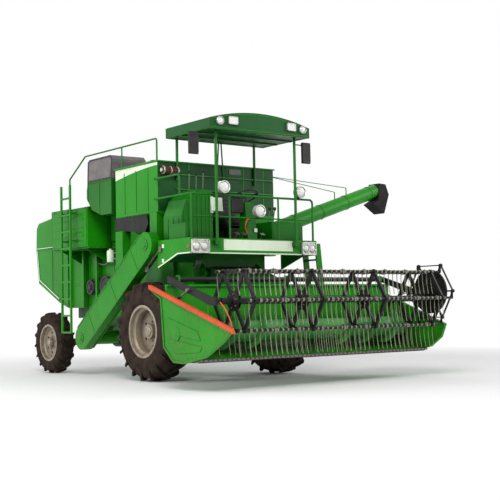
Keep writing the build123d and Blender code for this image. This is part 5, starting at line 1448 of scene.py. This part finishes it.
# Mirrors: glass towards the driver, a shell with cut corners in front
mirrorLook = {"places": (-1.27, 0.88), "half": 0.08, "outline": ((-1, 0.02, 3.35), (1, 0.02, 3.35),
    (1, 0.0, 3.375), (1, 0.0, 3.655), (1, 0.02, 3.68), (-1, 0.02, 3.68), (-1, 0.0, 3.655), (-1, 0.0, 3.375))}
mirrorFaces, mirrorShells = Maker(), Maker()
for x in mirrorLook["places"]:
    mirrorFaces.block((x - 0.07, -1.2365, 3.362), (x + 0.07, -1.2335, 3.668))
    mirrorShells.plate([(x + hand * (mirrorLook["half"] - cut), -1.271, z) for hand, cut,
        z in mirrorLook["outline"]], (0, -0.01, 0))
mirrorFaces.finish("mirror_glass", "root", "mirror", ease=0.001)
mirrorShells.finish("mirror_shells", "root", "plastic", ease=0.005)
print("canopy dressed")


# Silencer: collars and the pipes at its ends
silencerLook = {"axis": (-0.247, 3.24), "collars": (-1.158, -1.03, -0.903)}
silencerTrim = Maker()
for x in silencerLook["collars"]:
    silencerTrim.turned((x, *silencerLook["axis"]), (1, 0, 0), [(0.0615, 0), (0.066, 0.002), (0.066, 0.014),
        (0.0615, 0.016)], 28, closed=True)
for start, end in ((-1.158, -1.185), (-0.886, -0.85)):
    silencerTrim.rod((start, *silencerLook["axis"]), (end, *silencerLook["axis"]), 0.028, 18)
silencerTrim.finish("silencer_collars", "root", "chrome", ease=0.001)

# Unloading tube: stiffening bands with bolts at the joint, and the elbow's flange
unloadLook = {"start": (1.4, 0.4, 2.4), "rise": math.radians(18), "length": 2.7,
    "bands": (0.22, 0.46, 0.7, 0.93), "joint": 0.46, "flange": (1.4, 0.4, 2.228)}
direction = Vector((math.cos(unloadLook["rise"]), 0, math.sin(unloadLook["rise"])))


def onTube(share):
    return Vector(unloadLook["start"]) + direction * unloadLook["length"] * share


tubeTrim = Maker()
for share in unloadLook["bands"]:
    tubeTrim.turned(onTube(share), direction, [(0.1295, 0), (0.137, 0.002), (0.137, 0.022), (0.1295, 0.024)], 36,
        closed=True)
tubeTrim.finish("tube_bands", "unloader", "bright", ease=0.001)
repeat("tube_bolts", "unloader", "steel", boltShape(0.016, 0.008),
       circle(onTube(unloadLook["joint"]) + direction * 0.024, direction, 0.1335, 10, 0.6))
elbowTrim = Maker()
elbowTrim.turned(unloadLook["flange"], (0, 0, 1), [(0.13, 0), (0.158, 0.0), (0.158, 0.018), (0.13, 0.018)], 36,
    closed=True)
elbowTrim.finish("elbow_flange", "root", "bright", ease=0.002)
repeat("elbow_bolts", "root", "steel", boltShape(0.016, 0.01),
       circle(unloadLook["flange"], (0, 0, -1), 0.147, 8, 0.8))
print("unloader dressed")


# Ladders: three rows of grip studs on each step of the leaning left ladder
gripLook = {"steps": 4, "firstHeight": 0.96, "rise": 0.29, "x": 1.27, "leanFoot": 0.9, "lean": 0.1, "rows": 3,
    "rowStep": 0.025, "studStep": 0.03, "from": -1.085, "to": -0.835}
studs = []
for step in range(gripLook["steps"]):
    height = gripLook["firstHeight"] + gripLook["rise"] * step
    for line in range(gripLook["rows"]):
        x = gripLook["x"] - gripLook["lean"] * (height - gripLook["leanFoot"]) + 0.02 + gripLook["rowStep"] * line
        z = height + 0.0252
        studs += row((x, gripLook["from"], z), (x, gripLook["to"], z), gripLook["studStep"], (0, 0, 1), 0.9)
stud = Maker()
stud.turned((0, 0, 0), (0, 0, 1), [(0.007, -0.001), (0.007, 0.0025), (0.004, 0.0035), (0, 0.0035)], 6)
repeat("step_grips", "root", "steel", stud, studs)
print("ladders dressed")


# Floor, light and camera
stageLook = {"floorSize": 160.0, "floorColour": (0.93, 0.93, 0.93, 1.0), "shadowReach": 7.0, "shadowFade": 5.0,
    "roughness": 0.9, "specular": 0.1, "sky": 0.42}


# 1 for rays from the camera, also by way of a mirror or glass, else 0
def seenRays(tree):
    path = tree.nodes.new("ShaderNodeLightPath")
    seen = maths(tree, "MAXIMUM", path.outputs["Is Camera Ray"], path.outputs["Is Glossy Ray"])
    return maths(tree, "MAXIMUM", seen, path.outputs["Is Transmission Ray"])


def mixShaders(tree, factor, first, second, output):
    blend = tree.nodes.new("ShaderNodeMixShader")
    for source, target in ((factor, blend.inputs["Fac"]), (first, blend.inputs[1]), (second, blend.inputs[2]),
            (blend.outputs["Shader"], output.inputs["Surface"])):
        tree.links.new(source, target)


def makeStage(look):
    bpy.ops.mesh.primitive_plane_add(size=look["floorSize"], location=(0, 0, 0))
    floor = bpy.context.object
    floor.name = "floor"
    material = bpy.data.materials.new("floor_pale")
    material.use_nodes = True
    tree = material.node_tree
    shader = tree.nodes["Principled BSDF"]
    shader.inputs["Base Color"].default_value = look["floorColour"]
    shader.inputs["Roughness"].default_value = look["roughness"]
    shader.inputs["Specular IOR Level"].default_value = look["specular"]
    white = tree.nodes.new("ShaderNodeEmission")
    white.inputs["Strength"].default_value = 1.0
    length = tree.nodes.new("ShaderNodeVectorMath")
    length.operation = "LENGTH"
    tree.links.new(tree.nodes.new("ShaderNodeTexCoord").outputs["Object"], length.inputs[0])
    far = remap(tree, length.outputs["Value"], look["shadowReach"], look["shadowReach"] + look["shadowFade"], 0.0,
        1.0)
    output = [node for node in tree.nodes if node.type == "OUTPUT_MATERIAL"][0]
    mixShaders(tree, maths(tree, "MULTIPLY", far, seenRays(tree)), shader.outputs["BSDF"],
        white.outputs["Emission"], output)
    floor.data.materials.append(material)
    floor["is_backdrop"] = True
    world = bpy.context.scene.world or bpy.data.worlds.new("studio")
    bpy.context.scene.world = world
    world.use_nodes = True
    tree = world.node_tree
    tree.nodes.clear()
    output = tree.nodes.new("ShaderNodeOutputWorld")
    sky, backdrop = (tree.nodes.new("ShaderNodeBackground") for part in range(2))
    for light in (sky, backdrop):
        light.inputs["Color"].default_value = (1, 1, 1, 1)
    sky.inputs["Strength"].default_value = look["sky"]
    mixShaders(tree, seenRays(tree), sky.outputs["Background"], backdrop.outputs["Background"], output)


lampTable = {
    "key": {"place": (-9.0, -11.0, 10.5), "size": 6.0, "power": 1550},
    "side": {"place": (-13.0, 3.0, 7.0), "size": 6.0, "power": 620},
    "left": {"place": (11.0, -7.0, 7.0), "size": 7.0, "power": 420},
    "back": {"place": (4.0, 14.0, 9.0), "size": 7.0, "power": 420},
}


def makeLamps(table, target):
    for name, look in table.items():
        data = bpy.data.lights.new(name, "AREA")
        data.shape = "SQUARE"
        data.size = look["size"]
        data.energy = look["power"]
        lamp = bpy.data.objects.new(name, data)
        lamp.location = look["place"]
        lamp.rotation_mode = "QUATERNION"
        lamp.rotation_quaternion = (target - lamp.location).to_track_quat("-Z", "Y")
        bpy.context.scene.collection.objects.link(lamp)


cameraLook = {"place": (-9.98, -13.894, 1.081), "yaw": 37.538, "pitch": 3.173, "roll": -1.156, "lens": 76.33,
    "sensor": 36.0, "clipEnd": 200}


def makeCamera(look):
    yaw, pitch, roll = (math.radians(look[k]) for k in ("yaw", "pitch", "roll"))
    ahead = Vector((math.sin(yaw) * math.cos(pitch), math.cos(yaw) * math.cos(pitch), math.sin(pitch)))
    right = Vector((math.cos(yaw), -math.sin(yaw), 0))
    up = right.cross(ahead)
    turnedRight = right * math.cos(roll) + up * math.sin(roll)
    turnedUp = up * math.cos(roll) - right * math.sin(roll)
    data = bpy.data.cameras.new("camera")
    data.sensor_width = look["sensor"]
    data.lens = look["lens"]
    data.clip_end = look["clipEnd"]
    camera = bpy.data.objects.new("camera", data)
    axes = Matrix((turnedRight, turnedUp, -ahead)).transposed()
    camera.matrix_world = Matrix.Translation(look["place"]) @ axes.to_4x4()
    bpy.context.scene.collection.objects.link(camera)
    bpy.context.scene.camera = camera


makeStage(stageLook)
makeLamps(lampTable, Vector((-0.3, 0.8, 1.6)))
makeCamera(cameraLook)
bpy.context.scene.view_settings.view_transform = "Standard"
print("stage, lamps and camera made")

low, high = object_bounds()
